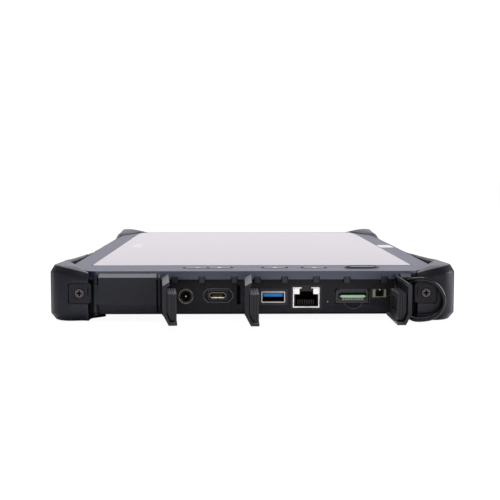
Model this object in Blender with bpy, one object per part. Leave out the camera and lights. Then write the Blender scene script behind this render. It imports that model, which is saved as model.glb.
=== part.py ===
"""Field data collector: a fully rugged tablet computer lying screen up on four corner bumpers.

+X is the user's right, +Y runs from the port side to the far side and +Z is up. Every
dimension below is in millimetres in the body frame, whose Y = 0 is the middle of the 339 mm
case. The root empty moves that frame so that the world origin is under the middle of the
whole object, with its three open port doors.
"""

import math

import bmesh
import bpy
from mathutils import Matrix, Vector

MM = 0.001
GAP = 0.3  # clearance between pieces that touch

# heights above the ground
HOUSING_BOTTOM = 2.6
FLOOR_TOP = 4.6
HOUSING_TOP = 22.4
LEDGE = 22.1  # top of what stands out from the housing below the bezel
BEZEL_BOTTOM = 22.7
BEZEL_TOP = 27.4
GLASS_TOP = 27.6
GLASS_THICKNESS = 1.4
RIDGE = 31.1
CHAMFER_HEIGHT = 3.8
HEEL_HEIGHT = 4.3  # where a bumper's lower chamfer starts

# depth, along Y
CASE_END = 169.5
DOOR_WALL = -167.3
BEZEL_NEAR = -163.5
BEZEL_FAR = 165.5
PORT_FACE = -159.5
HOUSING_FAR = 165.2
WALL = 2.5

# width, as half widths
NEAR_HALF = 112.8  # over the near bumpers
FAR_HALF = 110.8  # over the far bumpers
GRIP_HALF = 107.6  # over the rubber grips between them
BEZEL_HALF = 106.0
HOUSING_HALF = 105.7
CORNER_HALF = 92.4
CORNER_Y = 125.0

# cover glass
GLASS_HALF = 94.25
GLASS_NEAR = -132.5
GLASS_FAR = 158.5

# port doors; a closed door's section is given by depth behind its outer wall and height
HINGE_DEPTH = 1.5
HINGE_Y = DOOR_WALL + HINGE_DEPTH
KNUCKLE_RADIUS = 1.5
KNUCKLE_BOTTOM = 4.7
WEB_BOTTOM = 9.3
KNUCKLE_TOP = 20.3
LUG_RADIUS = 1.4
PIN_RADIUS = 0.6
BORE_RADIUS = 0.9
PANEL_START = 1.7
DOOR_SECTION = (
    (0.0, 24.2), (3.5, 26.2), (3.5, 24.6), (2.0, 23.2), (2.0, 9.4),
    (3.9, 4.7), (7.4, 4.7), (7.4, 3.4), (3.0, 3.4), (0.0, 9.1),
)
SEAL_SECTION = ((2.3, 19.6), (7.2, 19.6), (7.2, 5.6), (4.2, 5.6), (2.3, 9.8))
# name: hinge x, side that the closed panel runs to, length, opening at rest in degrees
DOORS = {
    "power_door": (-49.3, 1, 40.2, 85.0),
    "network_door": (-3.3, 1, 42.2, 90.0),
    "card_door": (80.3, -1, 39.3, 90.0),
    "end_door": (-87.5, 1, 33.8, 0.0),
}
SEAL_START = 13.0
SEAL_END_MARGIN = 3.0
LONGEST_DOOR = max(length for _, _, length, _ in DOORS.values())
OBJECT_NEAR = HINGE_Y - LONGEST_DOOR
FRAME_SHIFT = -(OBJECT_NEAR + CASE_END) / 2

# x range of the posts beside the doors, which share the doors' outer section
POSTS = ((-52.8, -51.5), (82.3, 88.0))
SKIRT_NOTCHES = (-43.9, -28.6, -10.4, 2.4, 17.7, 35.4, 52.7, 73.7)
NOTCH_WIDTH = 3.9

# keys on the near bezel
KEY_Y = -145.4
KEY_TOP = 27.6
KEY_BOTTOM = 23.0
KEY_HALF_WIDTH = 2.7
KEY_GAP = 0.3
KEYS = {
    "volume_down_key": (-39.3, -25.9),
    "volume_up_key": (-25.3, -12.2),
    "function_key_left": (6.3, 19.4),
    "function_key_right": (29.0, 41.8),
}
POWER_CENTRE = 63.25
POWER_LENGTH = 14.4
POWER_WIDTH = 5.0
POWER_TOP = 28.4
RING_WIDTH = 1.9
RING_TOP = 28.6

# screws that hold the bumper retainers
SCREW_X = 96.1
SCREW_HEIGHT = 15.7
SCREW_HEAD_RADIUS = 2.5
SCREW_SHANK_RADIUS = 1.5

# tether loop
LOOP_DIAMETER = 2.7
LOOP_ROUTE = (
    (85.4, -168.1, 21.9), (85.9, -170.2, 22.6), (87.4, -172.2, 23.3), (90.4, -173.2, 23.7),
    (94.8, -173.0, 23.5), (99.6, -172.3, 21.6), (103.4, -171.8, 18.0), (105.3, -171.6, 13.4),
    (104.9, -171.8, 8.8), (102.4, -172.4, 4.8), (98.3, -173.2, 2.3), (93.6, -174.0, 1.6),
    (89.6, -174.0, 1.6), (87.2, -172.8, 2.3), (85.9, -170.6, 3.6), (85.4, -168.1, 4.7),
)

# battery
BATTERY_LOW = (-76.0, 20.0)
BATTERY_HIGH = (76.0, 128.0)
LATCH_Y = 6.0
LATCH_X = 58.0


def clear_scene():
    for item in list(bpy.data.objects):
        bpy.data.objects.remove(item, do_unlink=True)


def make_collection(name, hidden=False):
    group = bpy.data.collections.new(name)
    bpy.context.scene.collection.children.link(group)
    group.hide_render = hidden
    return group


def make_material(name, colour, roughness, metallic=0.0):
    material = bpy.data.materials.new(name)
    material.use_nodes = True
    shader = material.node_tree.nodes["Principled BSDF"]
    shader.inputs["Base Color"].default_value = (*colour, 1.0)
    shader.inputs["Roughness"].default_value = roughness
    shader.inputs["Metallic"].default_value = metallic
    material.diffuse_color = (*colour, 1.0)
    return material


# ---------------------------------------------------------------- outlines


def arc(centre, radius, start, end, steps):
    """Points along an arc, with angles in degrees."""
    turns = [math.radians(start + (end - start) * i / steps) for i in range(steps + 1)]
    return [(centre[0] + radius * math.cos(a), centre[1] + radius * math.sin(a)) for a in turns]


def round_corners(points, radius, steps=3):
    """The polygon with each corner cut by a smooth curve that starts radius before it."""
    rounded = []
    count = len(points)
    for i, point in enumerate(points):
        here = Vector(point)
        before = (Vector(points[i - 1]) - here).normalized() * radius
        after = (Vector(points[(i + 1) % count]) - here).normalized() * radius
        for k in range(steps + 1):
            t = k / steps
            spot = here + before * (1 - t) ** 2 + after * t ** 2
            rounded.append((spot.x, spot.y))
    return rounded


def rectangle(x0, y0, x1, y1, radius=0.0, steps=3):
    corners = [(x0, y0), (x1, y0), (x1, y1), (x0, y1)]
    return round_corners(corners, radius, steps) if radius else corners


def stadium(centre, length, width, steps=6):
    half, radius = (length - width) / 2, width / 2
    right = arc((centre[0] + half, centre[1]), radius, -90, 90, steps)
    left = arc((centre[0] - half, centre[1]), radius, 90, 270, steps)
    return right + left


def case_outline(half, corner_half, near, far, inset=0.0):
    """The case seen from above: a rectangle whose four corners are cut on a long slant."""
    side, end = half - inset, corner_half - inset
    low, high = near + inset, far - inset
    outline = [(end, low), (side, -CORNER_Y), (side, CORNER_Y), (end, high)]
    outline += [(-x, y) for x, y in reversed(outline)]
    return outline


# ---------------------------------------------------------------- solids, as meshes


def mesh_from(shape):
    mesh = bpy.data.meshes.new("shape")
    shape.to_mesh(mesh)
    shape.free()
    return mesh


def box(low, high):
    shape = bmesh.new()
    size = [(b - a) * MM for a, b in zip(low, high)]
    centre = [(a + b) / 2 * MM for a, b in zip(low, high)]
    place = Matrix.Translation(centre) @ Matrix.Diagonal((*size, 1.0))
    bmesh.ops.create_cube(shape, size=1.0, matrix=place)
    return mesh_from(shape)


def rod(start, end, radius, end_radius=None, sides=16):
    """A cylinder or cone between two points."""
    shape = bmesh.new()
    a, b = Vector(start) * MM, Vector(end) * MM
    turn = (b - a).to_track_quat("Z", "Y").to_matrix().to_4x4()
    bmesh.ops.create_cone(
        shape, cap_ends=True, segments=sides, radius1=radius * MM,
        radius2=(radius if end_radius is None else end_radius) * MM,
        depth=(b - a).length, matrix=Matrix.Translation((a + b) / 2) @ turn,
    )
    return mesh_from(shape)


# how an outline's own x, y and depth lie in the body frame
PLANES = {
    "XY": Matrix.Identity(4),
    "XZ": Matrix(((1, 0, 0, 0), (0, 0, -1, 0), (0, 1, 0, 0), (0, 0, 0, 1))),
    "YZ": Matrix(((0, 0, 1, 0), (1, 0, 0, 0), (0, 1, 0, 0), (0, 0, 0, 1))),
}


def prism(loops, low, high, plane="XY"):
    """A flat outline, with any further loops as holes, given thickness from low to high."""
    curve = bpy.data.curves.new("outline", "CURVE")
    curve.dimensions = "2D"
    curve.fill_mode = "BOTH"
    curve.extrude = (high - low) / 2 * MM
    for loop in loops:
        spline = curve.splines.new("POLY")
        spline.points.add(len(loop) - 1)
        spline.use_cyclic_u = True
        for point, (x, y) in zip(spline.points, loop):
            point.co = (x * MM, y * MM, 0.0, 1.0)
    guide = bpy.data.objects.new("outline", curve)
    bpy.context.scene.collection.objects.link(guide)
    middle = (low + high) / 2 * MM
    if plane == "XZ":
        middle = -middle
    guide.matrix_world = PLANES[plane] @ Matrix.Translation((0, 0, middle))
    bpy.context.view_layer.update()
    graph = bpy.context.evaluated_depsgraph_get()
    mesh = bpy.data.meshes.new_from_object(guide.evaluated_get(graph))
    mesh.transform(guide.matrix_world)
    bpy.data.objects.remove(guide, do_unlink=True)
    shape = bmesh.new()
    shape.from_mesh(mesh)
    bmesh.ops.remove_doubles(shape, verts=shape.verts, dist=1e-6)
    bmesh.ops.recalc_face_normals(shape, faces=shape.faces)
    shape.to_mesh(mesh)
    shape.free()
    return mesh


def loft(sections):
    """A closed skin through rings of points that all have the same number of points."""
    shape = bmesh.new()
    rings = [[shape.verts.new(Vector(p) * MM) for p in section] for section in sections]
    count = len(rings[0])
    for ring, following in zip(rings, rings[1:]):
        for i in range(count):
            k = (i + 1) % count
            shape.faces.new((ring[i], ring[k], following[k], following[i]))
    shape.faces.new(reversed(rings[0]))
    shape.faces.new(rings[-1])
    shape.normal_update()
    bmesh.ops.triangulate(shape, faces=shape.faces, ngon_method="EAR_CLIP")
    bmesh.ops.recalc_face_normals(shape, faces=shape.faces)
    return mesh_from(shape)


# ---------------------------------------------------------------- objects


class Assembly:
    """The collector's objects, their shared root and the hidden tools that cut them."""

    def __init__(self):
        self.parts = make_collection("data_collector")
        self.tools = make_collection("cutters", hidden=True)
        self.root = bpy.data.objects.new("case_frame", None)
        self.root.location = (0, FRAME_SHIFT * MM, 0)
        self.parts.objects.link(self.root)

    def place(self, item, group, origin, parent):
        spot = Vector(origin) * MM
        item.data.transform(Matrix.Translation(-spot))
        item.location = (0, 0, 0) if parent else spot
        item.parent = parent or self.root
        group.objects.link(item)

    def combine(self, item, mesh, operation, origin, parent):
        tool = bpy.data.objects.new(f"{item.name}_{operation.lower()}", mesh)
        self.place(tool, self.tools, origin, parent)
        tool.hide_render = True
        tool.display_type = "WIRE"
        step = item.modifiers.new(operation.title(), "BOOLEAN")
        step.operation = operation
        step.solver = "EXACT"
        step.object = tool

    def piece(self, name, mesh, look, add=(), cut=(), hollow=None, origin=(0, 0, 0), parent=None):
        """One named part: a mesh in the body frame, with solids added to it and cut from it.

        A part with its own parent turns with it, and its origin is where that parent stands.
        The hollow, where there is one, is cut before anything is added.
        """
        item = bpy.data.objects.new(name, mesh)
        self.place(item, self.parts, origin, parent)
        colour, roughness, metallic = look
        item.data.materials.append(make_material(name, colour, roughness, metallic))
        if hollow:
            self.combine(item, hollow, "DIFFERENCE", origin, parent)
        for extra in add:
            self.combine(item, extra, "UNION", origin, parent)
        for hole in cut:
            self.combine(item, hole, "DIFFERENCE", origin, parent)
        return item


BEZEL_GREY = ((0.26, 0.27, 0.31), 0.45, 0.0)
DARK_PLASTIC = ((0.025, 0.026, 0.03), 0.6, 0.0)
RUBBER = ((0.02, 0.02, 0.023), 0.75, 0.0)
SOFT_BLACK = ((0.012, 0.012, 0.014), 0.55, 0.0)
GLASS = ((0.7, 0.69, 0.72), 0.08, 0.0)
STEEL = ((0.55, 0.53, 0.5), 0.35, 1.0)
SCREW_STEEL = ((0.25, 0.21, 0.21), 0.4, 1.0)
SHIELD = ((0.75, 0.68, 0.62), 0.4, 0.6)
GOLD = ((0.7, 0.6, 0.35), 0.35, 1.0)
BOARD_GREEN = ((0.03, 0.12, 0.06), 0.5, 0.0)
CARD_GREEN = ((0.3, 0.5, 0.32), 0.5, 0.0)
BLUE_PLASTIC = ((0.02, 0.17, 0.42), 0.45, 0.0)
COPPER = ((0.6, 0.3, 0.18), 0.4, 1.0)
ALLOY = ((0.42, 0.42, 0.44), 0.5, 0.9)
CORD = ((0.006, 0.006, 0.007), 0.3, 0.0)


# ---------------------------------------------------------------- case


def hinge_lugs(hinge_x):
    """The two fixed ears that hold a door's pin, and the cap above the upper one."""
    nose = arc((hinge_x, HINGE_Y), LUG_RADIUS, 180, 360, 6)
    root = PORT_FACE + 1.0
    ear = nose + [(hinge_x + LUG_RADIUS, root), (hinge_x - LUG_RADIUS, root)]
    cap = rod((hinge_x, HINGE_Y, 21.0), (hinge_x, HINGE_Y, 24.4), LUG_RADIUS - 0.1, sides=12)
    return [prism([ear], 20.6, LEDGE), prism([ear], 2.9, 4.4), cap]


def post(x0, x1):
    depth = PORT_FACE + 1.0
    outer = [(DOOR_WALL + d, z) for d, z in ((3.0, 3.4), (0.0, 9.1), (0.0, 24.2), (3.5, 26.2))]
    outline = outer + [(DOOR_WALL + 3.5, LEDGE), (depth, LEDGE), (depth, 3.4)]
    return prism([outline], x0, x1, "YZ")


def port_hole(outline):
    """A hole right through the near wall, from an outline seen from the front."""
    return prism([outline], PORT_FACE - 2.0, PORT_FACE + WALL + 2.0, "XZ")


PORT_HOLES = (
    arc((-37.8, 12.7), 4.3, 0, 345, 23),
    round_corners(rectangle(-28.3, 8.9, -11.0, 17.5), 2.6, 1),
    rectangle(4.4, 8.7, 18.6, 15.6),
    rectangle(22.2, 5.8, 38.0, 18.1),
    rectangle(46.6, 8.2, 65.7, 16.8),
    rectangle(67.0, 11.4, 75.8, 17.2),
    arc((42.3, 9.6), 0.9, 0, 330, 11),
)


def screw_hole(side, end, radius):
    near = end * (CASE_END + 5)
    return rod((side * SCREW_X, near, SCREW_HEIGHT), (side * SCREW_X, end * 138, SCREW_HEIGHT), radius)


CORNERS = [(side, end) for end in (-1, 1) for side in (-1, 1)]


def rear_housing(model):
    outline = case_outline(HOUSING_HALF, 93.0, PORT_FACE, HOUSING_FAR)
    hollow = case_outline(HOUSING_HALF, 93.0, PORT_FACE, HOUSING_FAR, WALL)
    standoffs = [
        rod((side * 97, y, HOUSING_BOTTOM + 0.5), (side * 97, y, 19.2), 3.0, sides=12)
        for side in (-1, 1) for y in (-100, 0, 100)
    ]
    adds = [post(*span) for span in POSTS] + standoffs
    cuts = []
    for hinge_x, *_ in DOORS.values():
        adds += hinge_lugs(hinge_x)
        bottom, top = (hinge_x, HINGE_Y, 1.0), (hinge_x, HINGE_Y, 23.0)
        cuts.append(rod(bottom, top, BORE_RADIUS, sides=12))
    cuts += [port_hole(outline) for outline in PORT_HOLES]
    # finger notch under the card slot and the slit beside the network door
    cuts.append(rod((56.8, PORT_FACE - 2, 11.2), (56.8, PORT_FACE + 1.2, 11.2), 5.7, sides=24))
    cuts.append(box((-9.1, PORT_FACE - 2, 8.1), (-7.0, PORT_FACE + 2.0, 19.1)))
    for x in SKIRT_NOTCHES:
        half = NOTCH_WIDTH / 2
        cuts.append(box((x - half, PORT_FACE - 1, 20.9), (x + half, PORT_FACE + 1, 24.0)))
    cuts += [screw_hole(side, end, SCREW_SHANK_RADIUS + GAP) for side, end in CORNERS]
    # battery bay, latch slots, rear camera and dock connector
    cuts.append(box((BATTERY_LOW[0] - GAP, BATTERY_LOW[1] - GAP, 1.0),
                    (BATTERY_HIGH[0] + GAP, BATTERY_HIGH[1] + GAP, 6.0)))
    for side in (-1, 1):
        x = side * LATCH_X
        cuts.append(box((x - 12, LATCH_Y - 4.3, 1.0), (x + 12, LATCH_Y + 4.3, 6.0)))
    cuts.append(rod((62, -118, 1), (62, -118, 6), 7.3, sides=24))
    cuts.append(dock_hole())

    tub = prism([outline], HOUSING_BOTTOM, HOUSING_TOP)
    interior = prism([hollow], FLOOR_TOP, HOUSING_TOP + 2)
    model.piece("rear_housing", tub, DARK_PLASTIC, hollow=interior, add=adds, cut=cuts)


def dock_hole():
    return box((-109, -20.3, 7.7), (-102, 14.3, 17.3))


def side_grips(model):
    """A rubber strip along each long side between the bumpers, with two raised ribs."""
    for where, side, ribs in (("left", -1, (-17, 25)), ("right", 1, (-30, 40))):
        base, crest = side * (BEZEL_HALF + GAP), side * GRIP_HALF
        near, far = NEAR_STATIONS[-1][1] + 0.5, FAR_STATIONS[-1][1] - 0.5
        strip = prism([[(base, near), (crest, near), (crest, far), (base, far)]], 5.5, 27.0)
        raised = []
        for y in ribs:
            rib = [(base, y - 6), (crest + side * 0.9, y - 3), (crest + side * 0.9, y + 3), (base, y + 6)]
            raised.append(prism([rib], 6.5, 26.7))
        cuts = (dock_hole(),) if side < 0 else ()
        model.piece(f"side_grip_{where}", strip, RUBBER, add=raised, cut=cuts)


def key_outline(name, grow=0.0):
    """A key's outline: round at its outer end, and square where two volume keys meet."""
    x0, x1 = KEYS[name]
    half = KEY_HALF_WIDTH + grow
    steps = 6
    round_right = arc((x1 - KEY_HALF_WIDTH, KEY_Y), half, -90, 90, steps)
    round_left = arc((x0 + KEY_HALF_WIDTH, KEY_Y), half, 90, 270, steps)
    square_right = [(x1 + grow, KEY_Y - half), (x1 + grow, KEY_Y + half)]
    square_left = [(x0 - grow, KEY_Y + half), (x0 - grow, KEY_Y - half)]
    right = square_right if name == "volume_down_key" else round_right
    left = square_left if name == "volume_up_key" else round_left
    return right + left


def front_bezel(model):
    outline = case_outline(BEZEL_HALF, CORNER_HALF, BEZEL_NEAR, BEZEL_FAR)
    outline = round_corners(outline, 5.0, 2)
    window = rectangle(-GLASS_HALF - GAP, GLASS_NEAR - GAP, GLASS_HALF + GAP, GLASS_FAR + GAP)
    volume = (KEYS["volume_down_key"][0] + KEYS["volume_up_key"][1]) / 2
    volume_length = KEYS["volume_up_key"][1] - KEYS["volume_down_key"][0]
    key_width = 2 * (KEY_HALF_WIDTH + KEY_GAP)
    holes = [
        stadium((volume, KEY_Y), volume_length + 2 * KEY_GAP, key_width),
        key_outline("function_key_left", KEY_GAP),
        key_outline("function_key_right", KEY_GAP),
        stadium((POWER_CENTRE, KEY_Y), POWER_LENGTH + 2 * KEY_GAP, POWER_WIDTH + 2 * KEY_GAP),
    ]
    mesh = prism([outline, window], BEZEL_BOTTOM, BEZEL_TOP)
    ring_length, ring_width = POWER_LENGTH + 2 * RING_WIDTH + 1.4, POWER_WIDTH + 2 * RING_WIDTH + 1.4
    ring_seat = prism([stadium((POWER_CENTRE, KEY_Y), ring_length, ring_width)], 26.4, 29)
    cuts = [prism([hole], BEZEL_BOTTOM - 1, BEZEL_TOP + 1) for hole in holes]
    cuts += [ring_seat, box((94.9, -2.3, 26.2), (105.1, 19.3, 29))]
    for x in SKIRT_NOTCHES:
        half = NOTCH_WIDTH / 2
        cuts.append(box((x - half, BEZEL_NEAR - 1, 22.0), (x + half, BEZEL_NEAR + 1.5, 24.4)))
    model.piece("front_bezel", mesh, BEZEL_GREY, cut=cuts)


def display(model):
    bottom = GLASS_TOP - GLASS_THICKNESS
    glass = rectangle(-GLASS_HALF, GLASS_NEAR, GLASS_HALF, GLASS_FAR, 2.0, 2)
    model.piece("cover_glass", prism([glass], bottom, GLASS_TOP), GLASS)
    outer = rectangle(-94.0, -132.2, 94.0, 158.2)
    inner = rectangle(-90.8, -129.0, 90.8, 155.0)
    model.piece("display_gasket", prism([outer, inner], 22.8, bottom - GAP), SOFT_BLACK)
    model.piece("lcd_module", box((-90.4, -128.6, 21.0), (90.4, 154.6, bottom - GAP)), ALLOY)
    frame = case_outline(HOUSING_HALF, 93.0, PORT_FACE, HOUSING_FAR, WALL + 1.0)
    vent = rectangle(-60, 40, 60, 110, 6.0, 1)
    model.piece("mid_frame", prism([frame, vent], 19.5, 20.7), ALLOY)


# ---------------------------------------------------------------- inside the case


def electronics(model):
    model.piece("mainboard", box((-92, -128, 9.0), (92, 14, 10.4)), BOARD_GREEN)
    model.piece("heat_spreader", box((-48, -92, 10.7), (52, -18, 12.5)), COPPER)
    model.piece("io_board", box((-60, -155, 4.9), (80, -132, 5.9)), BOARD_GREEN)
    model.piece("speaker", box((82.5, 30, 5.0), (96, 84, 14.0)), SOFT_BLACK)
    pack = box((*BATTERY_LOW, HOUSING_BOTTOM), (*BATTERY_HIGH, 13.5))
    model.piece("battery_pack", pack, DARK_PLASTIC)
    for name, side in (("battery_latch_left", -1), ("battery_latch_right", 1)):
        x = side * LATCH_X
        slider = box((x - 6 - side * 2, LATCH_Y - 4, 2.9), (x + 6 - side * 2, LATCH_Y + 4, 4.4))
        key = box((x - 3 - side * 2, LATCH_Y - 2.5, 2.65), (x + 3 - side * 2, LATCH_Y + 2.5, 3.5))
        guide = box((x - 8 - side * 2, LATCH_Y - 7, 4.9), (x + 8 - side * 2, LATCH_Y + 7, 6.1))
        stem = box((x - 3 - side * 2, LATCH_Y - 3, 4.0), (x + 3 - side * 2, LATCH_Y + 3, 5.2))
        model.piece(name, slider, SCREW_STEEL, add=(key, stem, guide), origin=(x - side * 2, LATCH_Y, 4.0))


def cameras(model):
    model.piece("front_camera_window", box((95.2, -2.0, 26.5), (104.8, 19.0, 27.5)), GLASS)
    window = rod((62, -118, 2.7), (62, -118, 3.9), 7.0, sides=24)
    model.piece("rear_camera_window", window, GLASS)
    body = box((56, -124, 4.9), (68, -112, 8.6))
    lens = rod((62, -118, 4.2), (62, -118, 5.4), 4.5, sides=20)
    model.piece("rear_camera_module", body, SOFT_BLACK, add=(lens,))
    dock = box((-107.6, -20, 8.0), (-101.5, 14, 17.0))
    pocket = box((-109, -15, 10.5), (-106.2, 9, 14.5))
    model.piece("dock_connector", dock, SOFT_BLACK, cut=(pocket,))


# ---------------------------------------------------------------- ports


def ports(model):
    front = PORT_FACE - 0.1
    ring = rod((-37.8, front, 12.7), (-37.8, -146, 12.7), 3.9, sides=20)
    base = box((-41.5, -156.6, 6.2), (-34.1, -146, 12.7))
    hole = prism([arc((-37.8, 12.7), 3.0, 0, 342, 19), arc((-37.8, 12.7), 0.9, 0, 330, 11)],
                 front - 1, -149, "XZ")
    model.piece("dc_jack", ring, STEEL, add=(base,), cut=(hole,))

    shell = prism([stadium((-19.9, 13.0), 9.3, 3.4)], front + 1.2, -148, "XZ")
    mouth = prism([stadium((-19.9, 13.0), 8.5, 2.6), rectangle(-22.9, 12.65, -16.9, 13.35)],
                  front, -150, "XZ")
    flange = prism([round_corners(rectangle(-27.9, 9.3, -11.4, 17.1), 2.4, 1)],
                   front + 1.6, -156.6, "XZ")
    base = box((-25, -156.7, 6.2), (-15, -148, 12.0))
    model.piece("usb_c_port", flange, GOLD, add=(shell, base), cut=(mouth,))

    outer = rectangle(4.8, 9.05, 18.2, 15.35, 0.4, 1)
    inner = rectangle(5.3, 9.55, 17.7, 14.85)
    shell = prism([outer], front, -141, "XZ")
    base = box((5.6, -156.7, 6.2), (17.4, -141, 9.3))
    model.piece("usb_a_shell", shell, STEEL, add=(base,), cut=(prism([inner], front - 1, -142, "XZ"),))
    model.piece("usb_a_tongue", box((6.0, front + 0.8, 12.4), (17.0, -142.4, 14.4)), BLUE_PLASTIC)

    outer = rectangle(22.6, 6.2, 37.6, 17.7)
    inner = rectangle(23.2, 6.8, 37.0, 17.1)
    model.piece("rj45_shield", prism([outer, inner], front, -141, "XZ"), SHIELD)
    # the socket steps in twice above its square mouth, for the plug's latch
    steps = ((24.0, 7.4, 36.3, 13.7), (26.4, 13.0, 34.0, 15.4), (27.7, 14.6, 33.0, 16.5))
    cavity = [box((x0, front - 1, z0), (x1, -146, z1)) for x0, z0, x1, z1 in steps]
    block = box((23.5, front + 0.3, 7.1), (36.7, -141.6, 16.8))
    model.piece("rj45_insert", block, SOFT_BLACK, cut=cavity)

    socket = box((47.0, front, 8.6), (65.3, -139, 16.4))
    base = box((49, -156.7, 6.2), (63, -139, 9.0))
    slot = box((48.6, front - 1, 11.5), (63.9, -142, 14.6))
    model.piece("card_socket", socket, SOFT_BLACK, add=(base,), cut=(slot,))
    model.piece("memory_card", box((48.9, front + 0.6, 11.8), (63.6, -143, 13.2)), CARD_GREEN)

    jack = box((67.4, front, 11.8), (75.4, -146, 16.8))
    base = box((67.8, -156.7, 6.2), (75.0, -146, 12.2))
    hole = rod((71.6, front - 1, 14.4), (71.6, -148, 14.4), 1.75)
    model.piece("audio_jack", jack, DARK_PLASTIC, add=(base,), cut=(hole,))

    plunger = rod((42.3, front + 1.4, 9.6), (42.3, -155.0, 9.6), 0.55, sides=12)
    head = rod((42.3, -156.2, 9.6), (42.3, -153.6, 9.6), 1.6, sides=12)
    model.piece("reset_button", plunger, SOFT_BLACK, add=(head,), origin=(42.3, -156, 9.6))


# ---------------------------------------------------------------- keys


def keys(model):
    for name, (x0, x1) in KEYS.items():
        centre = ((x0 + x1) / 2, KEY_Y, KEY_TOP)
        flange = box((x0 + 0.2, KEY_Y - 3.6, 21.6), (x1 - 0.2, KEY_Y + 3.6, 22.3))
        stem = box((x0 + 1.0, KEY_Y - 2.0, 22.0), (x1 - 1.0, KEY_Y + 2.0, 24.0))
        cap = prism([key_outline(name)], KEY_BOTTOM, KEY_TOP)
        model.piece(name, cap, BEZEL_GREY, add=(stem, flange), origin=centre)
    centre = (POWER_CENTRE, KEY_Y)
    cap = prism([stadium(centre, POWER_LENGTH, POWER_WIDTH)], KEY_BOTTOM, POWER_TOP)
    stem = box((POWER_CENTRE - 5, KEY_Y - 1.8, 22.0), (POWER_CENTRE + 5, KEY_Y + 1.8, 24.0))
    flange = box((POWER_CENTRE - 8.5, KEY_Y - 3.4, 21.6), (POWER_CENTRE + 8.5, KEY_Y + 3.4, 22.3))
    model.piece("power_button", cap, STEEL, add=(stem, flange), origin=(*centre, POWER_TOP))
    outer = stadium(centre, POWER_LENGTH + 2 * RING_WIDTH + 0.8, POWER_WIDTH + 2 * RING_WIDTH + 0.8)
    inner = stadium(centre, POWER_LENGTH + 0.8, POWER_WIDTH + 0.8)
    model.piece("power_ring", prism([outer, inner], 26.7, RING_TOP), SOFT_BLACK)


# ---------------------------------------------------------------- doors


def door(model, name):
    hinge_x, side, length, opening = DOORS[name]
    hinge = bpy.data.objects.new(f"{name}_hinge", None)
    hinge.location = Vector((hinge_x, HINGE_Y, 0)) * MM
    hinge.rotation_euler.z = math.radians(-side * opening)
    hinge.parent = model.root
    model.parts.objects.link(hinge)

    def span(start, end):
        return sorted((side * start, side * end))

    def section(points):
        return [(depth - HINGE_DEPTH, z) for depth, z in points]

    shell = prism([section(DOOR_SECTION)], *span(PANEL_START, length), "YZ")
    low, high = span(0.0, PANEL_START + 0.4)
    web = box((low, 0.02 - HINGE_DEPTH, WEB_BOTTOM), (high, 0.45, KNUCKLE_TOP - 0.2))
    knuckle = rod((0, 0, KNUCKLE_BOTTOM), (0, 0, KNUCKLE_TOP), KNUCKLE_RADIUS)
    bore = rod((0, 0, 0), (0, 0, 30), BORE_RADIUS, sides=12)
    model.piece(f"{name}_shell", shell, RUBBER, add=(web, knuckle), cut=(bore,), parent=hinge)

    plug = prism([section(SEAL_SECTION)], *span(SEAL_START, length - SEAL_END_MARGIN), "YZ")
    low, high = span(SEAL_START + 2, length - SEAL_END_MARGIN - 2)
    pocket = box((low, 4.2, 8.6), (high, 9.0, 16.6))
    model.piece(f"{name}_seal", plug, SOFT_BLACK, cut=(pocket,), parent=hinge)
    pin = rod((hinge_x, HINGE_Y, 3.2), (hinge_x, HINGE_Y, 22.6), PIN_RADIUS, sides=12)
    model.piece(f"{name}_pin", pin, STEEL)


# ---------------------------------------------------------------- bumpers


def case_edge(y):
    """How far out the bezel reaches at a depth, with the bumper's clearance."""
    end = BEZEL_NEAR if y < 0 else BEZEL_FAR
    slant = min(1.0, (abs(end) - abs(y)) / (abs(end) - CORNER_Y))
    return CORNER_HALF + (BEZEL_HALF - CORNER_HALF) * slant + 0.8


def corner_stations(inner, outer_arc, ridges):
    """Slices round a corner, from the short side to the long one."""
    return tuple((case_edge(y), y, *spot, ridge, 28.0, 14.0)
                 for y, spot, ridge in zip(inner, outer_arc, ridges))


# inner x, y; outer x, y; ridge height; height of the groove beside the bezel; foot
NEAR_STATIONS = (
    (91.4, -163.9, 91.4, -169.5, 27.0, 26.6, 8.0),
    (93.4, -161.9, 98.0, -169.5, 28.3, 27.4, 11.0),
    *corner_stations((-160.0, -157.5, -154.5, -151.0, -146.5),
                     arc((NEAR_HALF - 8.0, -161.5), 8.0, -90, 0, 4), (29.8, 30.6, 31.0, RIDGE, RIDGE)),
    (case_edge(-137.0), -137.0, NEAR_HALF, -138.0, 30.8, 28.0, 14.0),
    (106.8, -124.6, NEAR_HALF - 0.2, -124.0, 30.2, 25.6, 12.0),
    (106.8, -112.0, 112.0, -112.0, 29.6, 24.4, 9.0),
    (106.8, -80.0, 110.5, -80.0, 28.5, 24.6, 5.0),
    (106.8, -56.0, 109.5, -56.0, 27.8, 25.4, 3.0),
    (106.8, -40.0, 108.7, -40.0, 27.2, 26.0, 2.0),
)
FAR_STATIONS = (
    (88.6, 166.0, 88.6, 169.5, 27.4, 27.2, 8.0),
    (93.6, 165.7, 95.6, 169.5, 28.9, 27.6, 11.0),
    *corner_stations((162.0, 159.0, 155.5, 151.0, 145.0),
                     arc((FAR_HALF - 10.0, 159.5), 10.0, 90, 0, 4), (29.8, 30.4, 30.7, 30.7, 30.5)),
    (106.8, 124.8, FAR_HALF - 0.4, 124.0, 29.2, 27.0, 12.0),
    (106.8, 108.0, 109.6, 108.0, 28.2, 26.4, 6.0),
    (106.8, 94.0, 108.4, 94.0, 27.2, 26.0, 2.0),
)


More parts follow.
